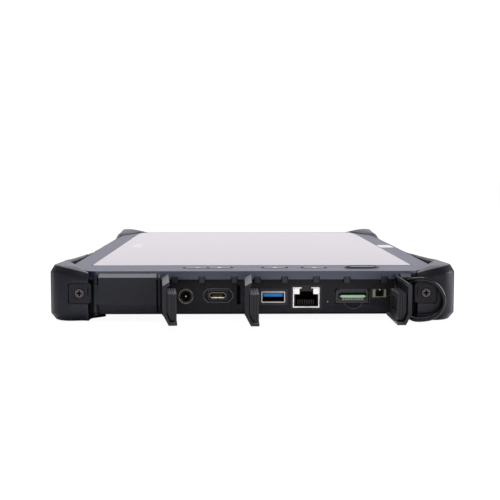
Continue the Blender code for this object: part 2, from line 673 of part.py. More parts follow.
def bumper_section(station, side):
    """One slice of a bumper: an L whose foot reaches in under the case."""
    px, py, qx, qy, ridge, groove, foot = station
    inner, outer = Vector((px, py)), Vector((qx, qy))
    reach = outer - inner
    across = reach.normalized()
    chamfer = min(3.0, reach.length * 0.4)
    crest = outer - across * chamfer
    shoulder = inner + reach * 0.3
    heel = outer - across * min(3.9, reach.length * 0.45)
    toe = inner - across * foot
    shoulder_height = groove + (ridge - groove) * 0.75
    slice_points = (
        (inner, groove), (shoulder, shoulder_height), (crest, ridge),
        (outer, ridge - CHAMFER_HEIGHT), (outer, HEEL_HEIGHT), (heel, 0.0), (toe, 0.0), (toe, 1.4),
        (inner - across * foot * 0.3, 2.3), (inner, 2.3),
    )
    return [(side * p.x, p.y, z) for p, z in slice_points]


def bumpers(model):
    for side, end in CORNERS:
        where = f"{'near' if end < 0 else 'far'}_{'left' if side < 0 else 'right'}"
        stations = NEAR_STATIONS if end < 0 else FAR_STATIONS
        body = loft([bumper_section(station, side) for station in stations])
        face = end * CASE_END
        recess_y = sorted((face - end * 2.2, face + end * 3))
        seat = box((min(side * 86, side * 102.3), recess_y[0], 9.7),
                   (max(side * 86, side * 102.3), recess_y[1], 21.5))
        hole = screw_hole(side, end, SCREW_SHANK_RADIUS + GAP)
        model.piece(f"bumper_{where}", body, RUBBER, cut=(seat, hole))
        plate_y = sorted((face - end * 0.4, face - end * 1.9))
        low_x, high_x = sorted((side * 89.7, side * 102.0))
        outline = round_corners(rectangle(low_x, 10.0, high_x, 21.2), 1.6, 2)
        bore = arc((side * SCREW_X, SCREW_HEIGHT), SCREW_SHANK_RADIUS + GAP, 0, 330, 11)
        plate = prism([outline, bore], *plate_y, "XZ")
        sink = rod((side * SCREW_X, face + end, SCREW_HEIGHT),
                   (side * SCREW_X, face - end * 1.6, SCREW_HEIGHT), SCREW_HEAD_RADIUS + GAP)
        model.piece(f"retainer_{where}", plate, DARK_PLASTIC, cut=(sink,))
        screw(model, where, side, end, face)


def screw(model, where, side, end, face):
    x, z = side * SCREW_X, SCREW_HEIGHT
    head = rod((x, face - end * 1.3, z), (x, face - end * 0.1, z), SCREW_HEAD_RADIUS)
    shank = rod((x, face - end * 1.0, z), (x, face - end * 27, z), SCREW_SHANK_RADIUS, sides=12)
    cross = [box((x - a, min(face - end * 0.7, face + end * 2), z - b),
                 (x + a, max(face - end * 0.7, face + end * 2), z + b)) for a, b in ((1.5, 0.4), (0.4, 1.5))]
    model.piece(f"screw_{where}", head, SCREW_STEEL, add=(shank,), cut=cross)


# ---------------------------------------------------------------- tether loop


def spline_point(points, index, t):
    """A point on the Catmull-Rom curve between points[index] and the next one."""
    last = len(points) - 1
    a, b, c, d = (Vector(points[min(max(index + k, 0), last)]) for k in (-1, 0, 1, 2))
    return 0.5 * (2 * b + (c - a) * t + (2 * a - 5 * b + 4 * c - d) * t ** 2
                  + (3 * b - 3 * c + d - a) * t ** 3)


def tether_loop(model):
    steps = 2
    route = [spline_point(LOOP_ROUTE, i, k / steps)
             for i in range(len(LOOP_ROUTE) - 1) for k in range(steps)]
    route.append(Vector(LOOP_ROUTE[-1]))
    curve = bpy.data.curves.new("tether_loop", "CURVE")
    curve.dimensions = "3D"
    curve.bevel_depth = LOOP_DIAMETER / 2 * MM
    curve.bevel_resolution = 2
    curve.use_fill_caps = True
    spline = curve.splines.new("POLY")
    spline.points.add(len(route) - 1)
    for point, spot in zip(spline.points, route):
        point.co = (*(spot * MM), 1.0)
    cord = bpy.data.objects.new("tether_loop", curve)
    colour, roughness, metallic = CORD
    curve.materials.append(make_material("tether_loop", colour, roughness, metallic))
    cord.parent = model.root
    model.parts.objects.link(cord)


def main():
    clear_scene()
    model = Assembly()
    rear_housing(model)
    front_bezel(model)
    display(model)
    electronics(model)
    cameras(model)
    ports(model)
    keys(model)
    for name in DOORS:
        door(model, name)
    side_grips(model)
    bumpers(model)
    tether_loop(model)


main()
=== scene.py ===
"""Looks for the field data collector: a rugged tablet on corner bumpers with open port doors.

Places are in millimetres in the case's own frame, as in the CAD: Y = 0 is the middle of the case
and the ports are at its -Y end. at() turns them into the row frame's metres.
"""
import math

import bmesh
import bpy
from mathutils import Matrix, Vector


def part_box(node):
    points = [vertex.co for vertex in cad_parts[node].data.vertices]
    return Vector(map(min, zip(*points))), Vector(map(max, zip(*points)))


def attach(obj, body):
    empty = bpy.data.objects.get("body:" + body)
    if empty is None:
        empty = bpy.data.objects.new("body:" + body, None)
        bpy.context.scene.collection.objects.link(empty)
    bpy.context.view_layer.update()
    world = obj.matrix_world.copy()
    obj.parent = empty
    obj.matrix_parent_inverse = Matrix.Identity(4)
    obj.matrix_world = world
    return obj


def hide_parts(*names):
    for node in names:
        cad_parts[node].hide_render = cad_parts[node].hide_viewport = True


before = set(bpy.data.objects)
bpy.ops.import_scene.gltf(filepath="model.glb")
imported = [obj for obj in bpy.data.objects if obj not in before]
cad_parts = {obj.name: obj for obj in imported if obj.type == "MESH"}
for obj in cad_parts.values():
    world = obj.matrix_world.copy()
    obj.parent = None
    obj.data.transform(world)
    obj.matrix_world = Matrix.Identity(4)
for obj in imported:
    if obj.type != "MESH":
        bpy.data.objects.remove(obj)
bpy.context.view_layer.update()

MM = 0.001
CASE_END = 169.5  # the bumpers' end faces, near and far
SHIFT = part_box("bumper_far_left")[1].y - CASE_END * MM
DOOR_WALL = -167.3  # the closed doors' outer face
HINGE_Y = DOOR_WALL + 1.5
PORT_FACE = -159.5  # the floor of the bays behind the doors
GLASS_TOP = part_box("cover_glass")[1].z / MM
BEZEL_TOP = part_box("front_bezel")[1].z / MM
CORNERS = [(side, end) for end in (-1, 1) for side in (-1, 1)]


def at(x, y, z):
    return Vector((x * MM, y * MM + SHIFT, z * MM))


def corner_name(side, end):
    return f"{'near' if end < 0 else 'far'}_{'left' if side < 0 else 'right'}"


# ---------------------------------------------------------------- camera, light, floor


CAMERA_PLACE = (-9.45, -707.5, 84.9)
LENS, SENSOR = 70.5, 36
LOOKS_DOWN, LOOKS_RIGHT = 4.8, 0.82  # degrees
LIGHTS = (  # name, place and target in metres, size, watts
    ("overhead", (0.0, 0.1, 1.6), (0, 0, 0), (1.6, 1.2), 38),
    ("right", (1.5, -0.3, 0.5), (0.1, 0, 0), (1.2, 0.8), 38),
)
WORLD_TINT = (1.0, 0.957, 1.02, 1)
BRIGHT_WAY = (0.35, 1.0, 1.1)  # the way in which the sweep gets brighter
WHITE = (1, 1, 1, 1)
FLOOR_SIZE, FLOOR_DROP = 12, 0.0004


def set_camera():
    camera = bpy.data.cameras.new("camera")
    camera.lens = LENS
    camera.sensor_width = SENSOR
    camera.clip_start = 0.01
    holder = bpy.data.objects.new("camera", camera)
    holder.location = at(*CAMERA_PLACE)
    holder.rotation_euler = (math.radians(90 - LOOKS_DOWN), 0, math.radians(-LOOKS_RIGHT))
    bpy.context.scene.collection.objects.link(holder)
    bpy.context.scene.camera = holder


def add(tree, kind, inputs=None, **settings):
    """A new node; an input's value is a constant or a socket to link."""
    item = tree.nodes.new(kind)
    for key, value in settings.items():
        setattr(item, key, value)
    for key, value in (inputs or {}).items():
        if isinstance(value, bpy.types.NodeSocket):
            tree.links.new(value, item.inputs[key])
        else:
            item.inputs[key].default_value = value
    return item


def set_world():
    """White all round and above, and dimmer low down on the camera's side, like a lit sweep."""
    world = bpy.data.worlds.new("studio")
    bpy.context.scene.world = world
    world.use_nodes = True
    tree = world.node_tree
    tree.nodes.clear()
    way = add(tree, "ShaderNodeTexCoord").outputs["Generated"]
    facing = add(tree, "ShaderNodeVectorMath", {0: way, 1: BRIGHT_WAY},
                 operation="DOT_PRODUCT").outputs["Value"]
    level = add(tree, "ShaderNodeMapRange", {
        "Value": facing, "From Min": -0.9, "From Max": 0.8, "To Min": 0.68, "To Max": 0.93},
        interpolation_type="SMOOTHSTEP").outputs["Result"]
    lit = add(tree, "ShaderNodeBackground", {"Color": WORLD_TINT, "Strength": level})
    seen = add(tree, "ShaderNodeBackground", {"Color": WHITE, "Strength": 1.05})
    rays = add(tree, "ShaderNodeLightPath").outputs["Is Camera Ray"]
    mix = add(tree, "ShaderNodeMixShader", {"Fac": rays})
    tree.links.new(lit.outputs[0], mix.inputs[1])
    tree.links.new(seen.outputs[0], mix.inputs[2])
    add(tree, "ShaderNodeOutputWorld", {"Surface": mix.outputs[0]})


def area_light(name, place, target, size, power):
    light = bpy.data.lights.new(name, "AREA")
    light.shape = "RECTANGLE"
    light.size, light.size_y = size
    light.energy = power
    holder = bpy.data.objects.new(name, light)
    holder.location = place
    holder.rotation_euler = (Vector(target) - Vector(place)).to_track_quat("-Z", "Y").to_euler()
    bpy.context.scene.collection.objects.link(holder)


def set_floor():
    bpy.ops.mesh.primitive_plane_add(size=FLOOR_SIZE, location=(0, 0, -FLOOR_DROP))
    floor = bpy.context.object
    floor.name = "floor"
    material = bpy.data.materials.new("floor_white")
    material.use_nodes = True
    tree = material.node_tree
    shader = tree.nodes["Principled BSDF"]
    noise = add(tree, "ShaderNodeTexNoise", {"Scale": 3.0})
    tone = add(tree, "ShaderNodeMix", {"Factor": noise.outputs["Fac"], "A": (0.84, 0.84, 0.84, 1),
                                       "B": (0.88, 0.88, 0.88, 1)}, data_type="RGBA")
    tree.links.new(tone.outputs["Result"], shader.inputs["Base Color"])
    shader.inputs["Roughness"].default_value = 1.0
    shader.inputs["Specular IOR Level"].default_value = 0.0
    glow = add(tree, "ShaderNodeEmission", {"Color": WHITE, "Strength": 1.02})
    seen = add(tree, "ShaderNodeLightPath").outputs["Is Camera Ray"]
    share = add(tree, "ShaderNodeMath", {0: seen, 1: 0.93}, operation="MULTIPLY").outputs[0]
    mix = add(tree, "ShaderNodeMixShader", {"Fac": share, 1: shader.outputs[0], 2: glow.outputs[0]})
    tree.links.new(mix.outputs[0], tree.nodes["Material Output"].inputs["Surface"])
    floor.data.materials.append(material)


# ---------------------------------------------------------------- materials

COAT_ROUGHNESS = 0.08
BLOTCHES = 45.0  # cells per metre of the broad mottling
# the lighter grey painted on faces that look up: a painted highlight standing in for the sheen of the
# light above
TOP_SHEEN_GREY = (0.11, 0.108, 0.12, 1)


def surface(name, colour, roughness, grain=1500, bump=0.25, depth=0.03, mottle=0.12, spread=0.05,
            metallic=0.0, coat=0.0, ior=1.5, stretch=(1, 1, 1), wear=0.0, specular=0.5, top_sheen=0.0):
    """A solid material: mottled colour, uneven roughness, a fine grain, lighter worn edges and a
    painted highlight on faces that look up.

    grain is cells per metre, depth the grain's height in millimetres, spread how far the roughness
    strays, wear how far edges are paled, and the last argument how far faces that look up are painted
    a lighter grey as a painted highlight.
    """
    material = bpy.data.materials.new(name)
    material.use_nodes = True
    tree = material.node_tree
    shader = tree.nodes["Principled BSDF"]
    shader.inputs["Metallic"].default_value = metallic
    shader.inputs["IOR"].default_value = ior
    shader.inputs["Specular IOR Level"].default_value = specular
    shader.inputs["Coat Weight"].default_value = coat
    shader.inputs["Coat Roughness"].default_value = COAT_ROUGHNESS
    place = add(tree, "ShaderNodeTexCoord").outputs["Object"]
    place = add(tree, "ShaderNodeMapping", {"Vector": place, "Scale": stretch}).outputs["Vector"]
    broad = add(tree, "ShaderNodeTexNoise", {"Vector": place, "Scale": BLOTCHES, "Detail": 3.0})
    fine = add(tree, "ShaderNodeTexNoise", {"Vector": place, "Scale": float(grain), "Detail": 2.0})
    low = (*[c * (1 - mottle) for c in colour], 1)
    high = (*[min(1.0, c * (1 + mottle)) for c in colour], 1)
    tint = add(tree, "ShaderNodeMix", {"Factor": broad.outputs["Fac"], "A": low, "B": high},
               data_type="RGBA").outputs["Result"]
    if wear:
        edge = add(tree, "ShaderNodeNewGeometry").outputs["Pointiness"]
        edge = add(tree, "ShaderNodeMapRange", {
            "Value": edge, "From Min": 0.52, "From Max": 0.6, "To Max": wear}).outputs["Result"]
        patchy = add(tree, "ShaderNodeMath", {0: edge, 1: broad.outputs["Fac"]}, operation="MULTIPLY")
        pale = (*[min(1.0, c * 3 + 0.05) for c in colour], 1)
        tint = add(tree, "ShaderNodeMix", {"Factor": patchy.outputs[0], "A": tint, "B": pale},
                   data_type="RGBA").outputs["Result"]
    # painted highlight: faces that look up are painted towards a lighter grey
    if top_sheen:
        normal = add(tree, "ShaderNodeNewGeometry").outputs["Normal"]
        up = add(tree, "ShaderNodeSeparateXYZ", {"Vector": normal}).outputs["Z"]
        sheen_share = add(tree, "ShaderNodeMapRange", {"Value": up, "From Min": 0.55, "From Max": 0.97,
                                                "To Max": top_sheen}, interpolation_type="SMOOTHSTEP")
        tint = add(tree, "ShaderNodeMix", {"Factor": sheen_share.outputs["Result"], "A": tint, "B": TOP_SHEEN_GREY},
                   data_type="RGBA").outputs["Result"]
    tree.links.new(tint, shader.inputs["Base Color"])
    rough = add(tree, "ShaderNodeMapRange", {
        "Value": fine.outputs["Fac"], "From Min": 0.3, "From Max": 0.7,
        "To Min": max(0.02, roughness - spread), "To Max": min(1.0, roughness + spread)})
    tree.links.new(rough.outputs["Result"], shader.inputs["Roughness"])
    relief = add(tree, "ShaderNodeBump", {"Height": fine.outputs["Fac"], "Strength": bump,
                                          "Distance": depth * MM})
    tree.links.new(relief.outputs["Normal"], shader.inputs["Normal"])
    return material


MATERIALS = {
    "bezel": dict(colour=(0.026, 0.033, 0.0505), roughness=0.42, grain=1800, bump=0.3, depth=0.03,
                  specular=0.42),
    "housing": dict(colour=(0.0064, 0.0066, 0.0092), roughness=0.5, grain=1400, bump=0.5, depth=0.04,
                    specular=0.16),
    # the last setting paints a highlight on the rubber's faces that look up
    "rubber": dict(colour=(0.0036, 0.0044, 0.0078), roughness=0.38, grain=1300, bump=0.5, depth=0.05,
                   wear=0.5, specular=0.16, top_sheen=0.4),
    # a darker copy of the rubber, with less sheen and no top highlight, painted on the near chamfers
    # as shade
    "chamfer": dict(colour=(0.004, 0.004, 0.0055), roughness=0.4, grain=1300, bump=0.35, depth=0.04,
                    specular=0.08),
    # the last setting paints a highlight on the seal's faces that look up
    "seal": dict(colour=(0.006, 0.0062, 0.0085), roughness=0.34, grain=900, bump=0.2, depth=0.03,
                 specular=0.22, top_sheen=0.13),
    "black": dict(colour=(0.006, 0.006, 0.007), roughness=0.35, grain=1200, bump=0.15, specular=0.3),
    # near-black painted shade, put in holes, slits, gaps, seams, recesses and the bumpers' pockets
    # where shade falls
    "void": dict(colour=(0.002, 0.002, 0.002), roughness=0.7, grain=900, bump=0.1, specular=0.05),
    "glass": dict(colour=(0.012, 0.012, 0.015), roughness=0.22, grain=6, bump=0.02, depth=0.02,
                  mottle=0.1, spread=0.01, ior=1.6, coat=1.0),
    "steel": dict(colour=(0.52, 0.49, 0.47), roughness=0.4, grain=900, metallic=1.0, bump=0.15,
                  stretch=(1, 6, 1)),
    "dull": dict(colour=(0.16, 0.155, 0.13), roughness=0.4, grain=1600, metallic=0.9, bump=0.2),
    "brass": dict(colour=(0.3, 0.24, 0.13), roughness=0.4, grain=1600, metallic=0.9, bump=0.2),
    "screw": dict(colour=(0.062, 0.052, 0.055), roughness=0.36, grain=2500, metallic=0.9, bump=0.3),
    "shield": dict(colour=(1.0, 0.93, 0.89), roughness=0.5, grain=1100, bump=0.1),
    "gold": dict(colour=(0.9, 0.72, 0.36), roughness=0.35, grain=1500, metallic=0.6, bump=0.1),
    "board": dict(colour=(0.02, 0.09, 0.045), roughness=0.35, grain=500, bump=0.2),
    "card": dict(colour=(0.26, 0.52, 0.31), roughness=0.4, grain=900, bump=0.1),
    "blue": dict(colour=(0.004, 0.16, 0.42), roughness=0.35, grain=900, bump=0.1, specular=0.2),
    "alloy": dict(colour=(0.5, 0.5, 0.52), roughness=0.45, grain=1200, metallic=1.0, bump=0.2,
                  stretch=(1, 8, 1)),
    "copper": dict(colour=(0.75, 0.4, 0.26), roughness=0.35, grain=700, metallic=1.0, bump=0.15),
    # a lighter copy of the black plastic for thin raised rims: the rims are real, their lighter tone
    # is a painted highlight line
    "line": dict(colour=(0.02, 0.021, 0.027), roughness=0.4, grain=1500, bump=0.2, specular=0.5),
    "contact": dict(colour=(0.022, 0.02, 0.015), roughness=0.4, grain=1500, metallic=0.6, bump=0.1),
    "lens": dict(colour=(0.16, 0.16, 0.18), roughness=0.12, grain=600, bump=0.03, coat=0.8),
    "pale": dict(colour=(0.8, 0.79, 0.84), roughness=0.5, grain=1500, bump=0.1),
    "khaki": dict(colour=(0.2, 0.19, 0.13), roughness=0.4, grain=1500, bump=0.1),
    # a lighter grey painted on the near arms' rib crests as a highlight
    "crest": dict(colour=(0.1, 0.092, 0.096), roughness=0.5, grain=1500, bump=0.4, specular=0.4),
    "screen": dict(colour=(0.004, 0.004, 0.006), roughness=0.22, grain=6, bump=0.02, depth=0.02,
                   mottle=0.1, spread=0.01, ior=1.6, coat=1.0),
    "mark": dict(colour=(0.2, 0.2, 0.215), roughness=0.3, grain=1500, bump=0.1, ior=1.6, coat=1.0),
    "window": dict(colour=(0.32, 0.32, 0.345), roughness=0.08, grain=60, bump=0.03, coat=0.8),
    "button": dict(colour=(0.15, 0.18, 0.23), roughness=0.3, grain=1600, bump=0.1),
    "key": dict(colour=(0.07, 0.078, 0.1), roughness=0.4, grain=1800, bump=0.3, depth=0.03),
    "cord": dict(colour=(0.002, 0.002, 0.0026), roughness=0.1, grain=1900, bump=0.1, depth=0.03,
                 specular=0.16),
}
looks = {}


def look(name):
    if name not in looks:
        looks[name] = surface(name, **MATERIALS[name])
    return looks[name]


# ---------------------------------------------------------------- shapes

SHARP = math.radians(35)  # an edge that turns more than this is shaded sharp and can be rounded
WEIGHED = math.radians(20)  # an edge that turns less than this gets no bevel weight
FLAT = math.radians(0.6)  # faces that meet at less than this are made one
MERGE = 2e-6  # metres between points that are made one


def arc(centre, radius, start, end, steps):
    turns = [math.radians(start + (end - start) * i / steps) for i in range(steps + 1)]
    return [(centre[0] + radius * math.cos(a), centre[1] + radius * math.sin(a)) for a in turns]


def round_corners(points, radius, steps=4):
    """The polygon with each corner replaced by a curve that starts radius before it."""
    radii = radius if isinstance(radius, (list, tuple)) else [radius] * len(points)
    rounded = []
    for i, point in enumerate(points):
        here = Vector(point)
        before = Vector(points[i - 1]) - here
        after = Vector(points[(i + 1) % len(points)]) - here
        reach = min(radii[i], before.length * 0.45, after.length * 0.45)
        before, after = before.normalized() * reach, after.normalized() * reach
        for k in range(steps + 1):
            t = k / steps
            spot = here + before * (1 - t) ** 2 + after * t ** 2
            rounded.append(tuple(spot))
    return rounded


def oblong(x0, y0, x1, y1):
    return [(x0, y0), (x1, y0), (x1, y1), (x0, y1)]


def rectangle(x0, y0, x1, y1, radius):
    return round_corners(oblong(x0, y0, x1, y1), radius)


def stadium(centre, length, width, steps=12):
    half, radius = (length - width) / 2, width / 2
    return (arc((centre[0] + half, centre[1]), radius, -90, 90, steps)
            + arc((centre[0] - half, centre[1]), radius, 90, 270, steps))


# how a flat outline's two measures, and its depth, lie in the case's frame
LAY = {"XY": lambda u, v, depth: at(u, v, depth), "XZ": lambda u, v, depth: at(u, depth, v),
       "YZ": lambda u, v, depth: at(depth, u, v)}


def skin(rings, loop=False):
    """A closed surface through rings of as many points each, with flat ends or, in a loop, with the
    last ring joined to the first."""
    shape = bmesh.new()
    verts = [[shape.verts.new(p) for p in ring] for ring in rings]
    count = len(verts[0])
    pairs = list(zip(verts, verts[1:])) + ([(verts[-1], verts[0])] if loop else [])
    for a, b in pairs:
        for i in range(count):
            k = (i + 1) % count
            shape.faces.new((a[i], a[k], b[k], b[i]))
    if not loop:
        shape.faces.new(reversed(verts[0]))
        shape.faces.new(verts[-1])
    shape.normal_update()
    bmesh.ops.recalc_face_normals(shape, faces=shape.faces)
    return shape


def slab(outline, low, high, plane="XY"):
    lay = LAY[plane]
    return skin([[lay(u, v, depth) for u, v in outline] for depth in (low, high)])


def frame_slab(outer, inner, low, high, plane="XY"):
    """A flat frame between two outlines with the same number of points."""
    lay = LAY[plane]
    rings = [[lay(u, v, depth) for u, v in line]
             for line, depth in ((outer, low), (outer, high), (inner, high), (inner, low))]
    return skin(rings, loop=True)


def turned(profile, centre, axis, sides=32):
    """A solid of revolution; profile is radius and distance along the axis, from end to end."""
    x, y, z = centre

    def spot(radius, along, turn):
        across, up = radius * math.cos(turn), radius * math.sin(turn)
        return at(x + across, y + up, z + along) if axis == "Z" else at(x + across, y + along, z + up)
    turns = [2 * math.pi * i / sides for i in range(sides)]
    return skin([[spot(radius, along, turn) for turn in turns] for radius, along in profile])


def row_of(outlines, low, high, plane="XY"):
    """Slabs between the same two depths as one shape."""
    return joined(*[slab(outline, low, high, plane) for outline in outlines])


def joined(*shapes):
    whole = bmesh.new()
    for shape in shapes:
        mesh = bpy.data.meshes.new("part")
        shape.to_mesh(mesh)
        shape.free()
        whole.from_mesh(mesh)
        bpy.data.meshes.remove(mesh)
    return whole


def piece(name, shape, material, body="case", replaces=(), bevel=0.0, segments=2, weights=None,
          cut=()):
    """A named piece from a bmesh, with rounded edges, its material and the body that it rides on."""
    mesh = bpy.data.meshes.new(name)
    shape.to_mesh(mesh)
    shape.free()
    item = bpy.data.objects.new(name, mesh)
    bpy.context.scene.collection.objects.link(item)
    for finish in (material,) if isinstance(material, str) else material:
        mesh.materials.append(look(finish))
    for index, tool_shape in enumerate(cut):
        tool_mesh = bpy.data.meshes.new(f"{name}_cut")
        tool_shape.to_mesh(tool_mesh)
        tool_shape.free()
        tool = bpy.data.objects.new(f"{name}_cut_{index}", tool_mesh)
        bpy.context.scene.collection.objects.link(tool)
        step = item.modifiers.new("cut", "BOOLEAN")
        step.operation, step.solver, step.object = "DIFFERENCE", "EXACT", tool
    if cut:
        apply_modifiers(item)
    item.data.shade_smooth()
    item.data.set_sharp_from_angle(angle=SHARP)
    if bevel:
        step = item.modifiers.new("round", "BEVEL")
        step.width = bevel * MM
        step.segments = segments
        step.limit_method = "WEIGHT" if weights else "ANGLE"
        step.angle_limit = SHARP
        step.harden_normals = True
        step.use_clamp_overlap = True
        if weights:
            set_weights(item.data, weights)
        apply_modifiers(item)
    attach(item, body)
    for node in replaces:
        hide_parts(node)
    return item


def apply_modifiers(item):
    bpy.context.view_layer.update()
    graph = bpy.context.evaluated_depsgraph_get()
    mesh = bpy.data.meshes.new_from_object(item.evaluated_get(graph))
    tools = [m.object for m in item.modifiers if m.type == "BOOLEAN"]
    item.modifiers.clear()
    item.data = mesh
    for tool in tools:
        bpy.data.objects.remove(tool)


def set_weights(mesh, rule):
    """Bevel weights by a rule on an edge's two ends and its face angle, in the case's millimetres."""
    shape = bmesh.new()
    shape.from_mesh(mesh)
    layer = shape.edges.layers.float.get("bevel_weight_edge")
    if layer is None:
        layer = shape.edges.layers.float.new("bevel_weight_edge")
    back = Vector((0, SHIFT, 0))
    for edge in shape.edges:
        if len(edge.link_faces) == 2 and edge.calc_face_angle(0) > WEIGHED:
            edge[layer] = rule(*[(v.co - back) / MM for v in edge.verts])
    shape.to_mesh(mesh)
    shape.free()


def cad_shape(node):
    """A CAD node's own surface with its flat faces whole, to round its edges."""
    shape = bmesh.new()
    shape.from_mesh(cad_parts[node].data)
    bmesh.ops.remove_doubles(shape, verts=shape.verts, dist=MERGE)
    bmesh.ops.dissolve_limit(shape, angle_limit=FLAT, verts=shape.verts, edges=shape.edges)
    return shape


def rounded(node, width, material, body="case", segments=2, weights=None):
    """A CAD node's own shape with its edges rounded."""
    piece(f"{node}_finish", cad_shape(node), material, body, (node,), width, segments, weights)


def extra(name, shape, material, body="case", bevel=0.0, segments=2):
    """A small piece with no CAD node of its own, in the material that it is given."""
    item = piece(name, shape, material, body, bevel=bevel, segments=segments)


# ---------------------------------------------------------------- bezel and glass

BEZEL_BOTTOM = 22.7
BEZEL_HALF, BEZEL_TIP = 106.0, 92.4  # half the width along the sides, and at the two ends
BEZEL_NEAR, BEZEL_FAR = -163.5, 165.5
BEZEL_CUT = 125.0  # how far from the middle the cut corners start


def bezel():
    """The bezel, with its outer top edge well rounded and the others only broken."""
    def weight(start, finish):
        out, along = min(abs(start.x), abs(finish.x)), min(abs(start.y), abs(finish.y))
        outside = (out > BEZEL_HALF - 1 or along > -BEZEL_NEAR - 0.5
                   or (out > BEZEL_TIP - 1.4 and along > BEZEL_CUT - 1))
        if outside and min(start.z, finish.z) > BEZEL_TOP - 0.1:
            return 1.0
        if not outside and max(start.z, finish.z) < BEZEL_BOTTOM + 0.1:
            return 0.0
        return 0.12
    rounded("front_bezel", 1.7, "bezel", segments=4, weights=weight)


def glass():
    rounded("cover_glass", 0.25, "glass", segments=2)
    rounded("front_camera_window", 0.25, "window")


# ---------------------------------------------------------------- bumpers

NEAR_HALF, FAR_HALF, RIDGE = 112.8, 110.8, 31.1  # half widths and the greatest height
CLEARANCE = 0.8
ARM = BEZEL_HALF + CLEARANCE  # the arms' inner side
GROOVE, FOOT = 28.0, 14.0  # at the corners
RIB_PITCH, RIB_DEPTH = 2.4, 0.7
SCREW_X, SCREW_HEIGHT = 96.1, 15.7


def case_edge(y):
    """How far out the bezel reaches at a place along the case, with the bumper's clearance."""
    end = abs(BEZEL_NEAR if y < 0 else BEZEL_FAR)
    slant = min(1.0, (end - abs(y)) / (end - BEZEL_CUT))
    return BEZEL_TIP + (BEZEL_HALF - BEZEL_TIP) * slant + CLEARANCE


def corner_stations(inner, outer_arc, ridges):
    return tuple((case_edge(y), y, *spot, ridge, GROOVE, FOOT)
                 for y, spot, ridge in zip(inner, outer_arc, ridges))


# A station is the inner x and y, the outer x and y, the ridge's height, the height of the groove
# beside the bezel, and how far the foot reaches under the case.
NEAR_STATIONS = (
    (91.4, -163.9, 91.4, -169.5, 27.0, 26.6, 8.0),
    (93.4, -161.9, 98.0, -169.5, 28.3, 27.4, 11.0),
    *corner_stations((-160.0, -157.5, -154.5, -151.0, -146.5),
                     arc((NEAR_HALF - 8.0, -161.5), 8.0, -90, 0, 4), (29.8, 30.6, 31.0, RIDGE, RIDGE)),
    (case_edge(-137.0), -137.0, NEAR_HALF, -138.0, 30.8, GROOVE, FOOT),
    (ARM, -124.6, NEAR_HALF - 0.2, -124.0, 30.2, 25.6, 12.0),
    (ARM, -112.0, NEAR_HALF - 0.8, -112.0, 29.6, 24.4, 9.0),
    (ARM, -80.0, NEAR_HALF - 2.3, -80.0, 28.5, 24.6, 5.0),
    (ARM, -56.0, NEAR_HALF - 3.3, -56.0, 27.8, 25.4, 3.0),
    (ARM, -40.0, NEAR_HALF - 4.1, -40.0, 27.2, 26.0, 2.0),
)
FAR_STATIONS = (
    (88.6, 166.0, 88.6, 169.5, 27.4, 27.2, 8.0),
    (93.6, 165.7, 95.6, 169.5, 28.9, 27.6, 11.0),
    *corner_stations((162.0, 159.0, 155.5, 151.0, 145.0),
                     arc((FAR_HALF - 10.0, 159.5), 10.0, 90, 0, 4), (29.8, 30.4, 30.7, 30.7, 30.5)),
    (ARM, 124.8, FAR_HALF - 0.4, 124.0, 29.2, 27.0, 12.0),
    (ARM, 108.0, FAR_HALF - 1.2, 108.0, 28.2, 26.4, 6.0),
    (ARM, 94.0, FAR_HALF - 2.4, 94.0, 27.2, 26.0, 2.0),
)
RIBBED = range(9, 13)  # the stretches between near stations whose top is ribbed
POCKET = (-133.0, -42.0)  # where the pocket beside the bezel starts and ends; its faces are painted black as shade
RIBS = (-124.0, -41.0)  # where the ribs' crests are painted lighter as a highlight
# which faces round a section are the chamfer, painted darker as shade, the pocket, painted black as
# shade, and the arm's top, whose rib crests are painted lighter as a highlight
CHAMFER_COLUMN, POCKET_COLUMNS, TOP_COLUMNS = 8, range(3), range(3, 9)
# the bumpers' finishes: rubber, a darker copy painted on the chamfer as shade, black painted in the
# pocket as shade, and a lighter grey painted on the rib crests as a highlight
RUBBER, SHADED_CHAMFER, SHADED_POCKET, LIT_CREST = range(4)
BUMPER_FINISHES = ("rubber", "chamfer", "void", "crest")


def between(points, index, t):
    """A value on the Catmull-Rom curve between points[index] and the next one."""
    last = len(points) - 1
    around = (points[min(max(index + k, 0), last)] for k in (-1, 0, 1, 2))
    return tuple(0.5 * (2 * q + (r - p) * t + (2 * p - 5 * q + 4 * r - s) * t ** 2
                        + (3 * q - 3 * r + s - p) * t ** 3) for p, q, r, s in zip(*around))


def bumper_stations(end):
    """The stations with smooth steps between them, and the near arms' tops ribbed."""
    stations = NEAR_STATIONS if end < 0 else FAR_STATIONS
    widest = NEAR_HALF if end < 0 else FAR_HALF
    fine = []
    for i, (here, following) in enumerate(zip(stations, stations[1:])):
        ribbed = end < 0 and i in RIBBED
        steps = 4 * round(abs(following[1] - here[1]) / (2 * RIB_PITCH)) if ribbed else 4
        for k in range(steps):
            inner_x, inner_y, outer_x, outer_y, ridge, groove, foot = between(stations, i, k / steps)
            if ribbed and k % 4 in (2, 3):
                ridge -= RIB_DEPTH
            fine.append((inner_x, inner_y, min(outer_x, widest),
                         max(-CASE_END, min(CASE_END, outer_y)), min(ridge, RIDGE), groove, foot))
    return fine + [stations[-1]]


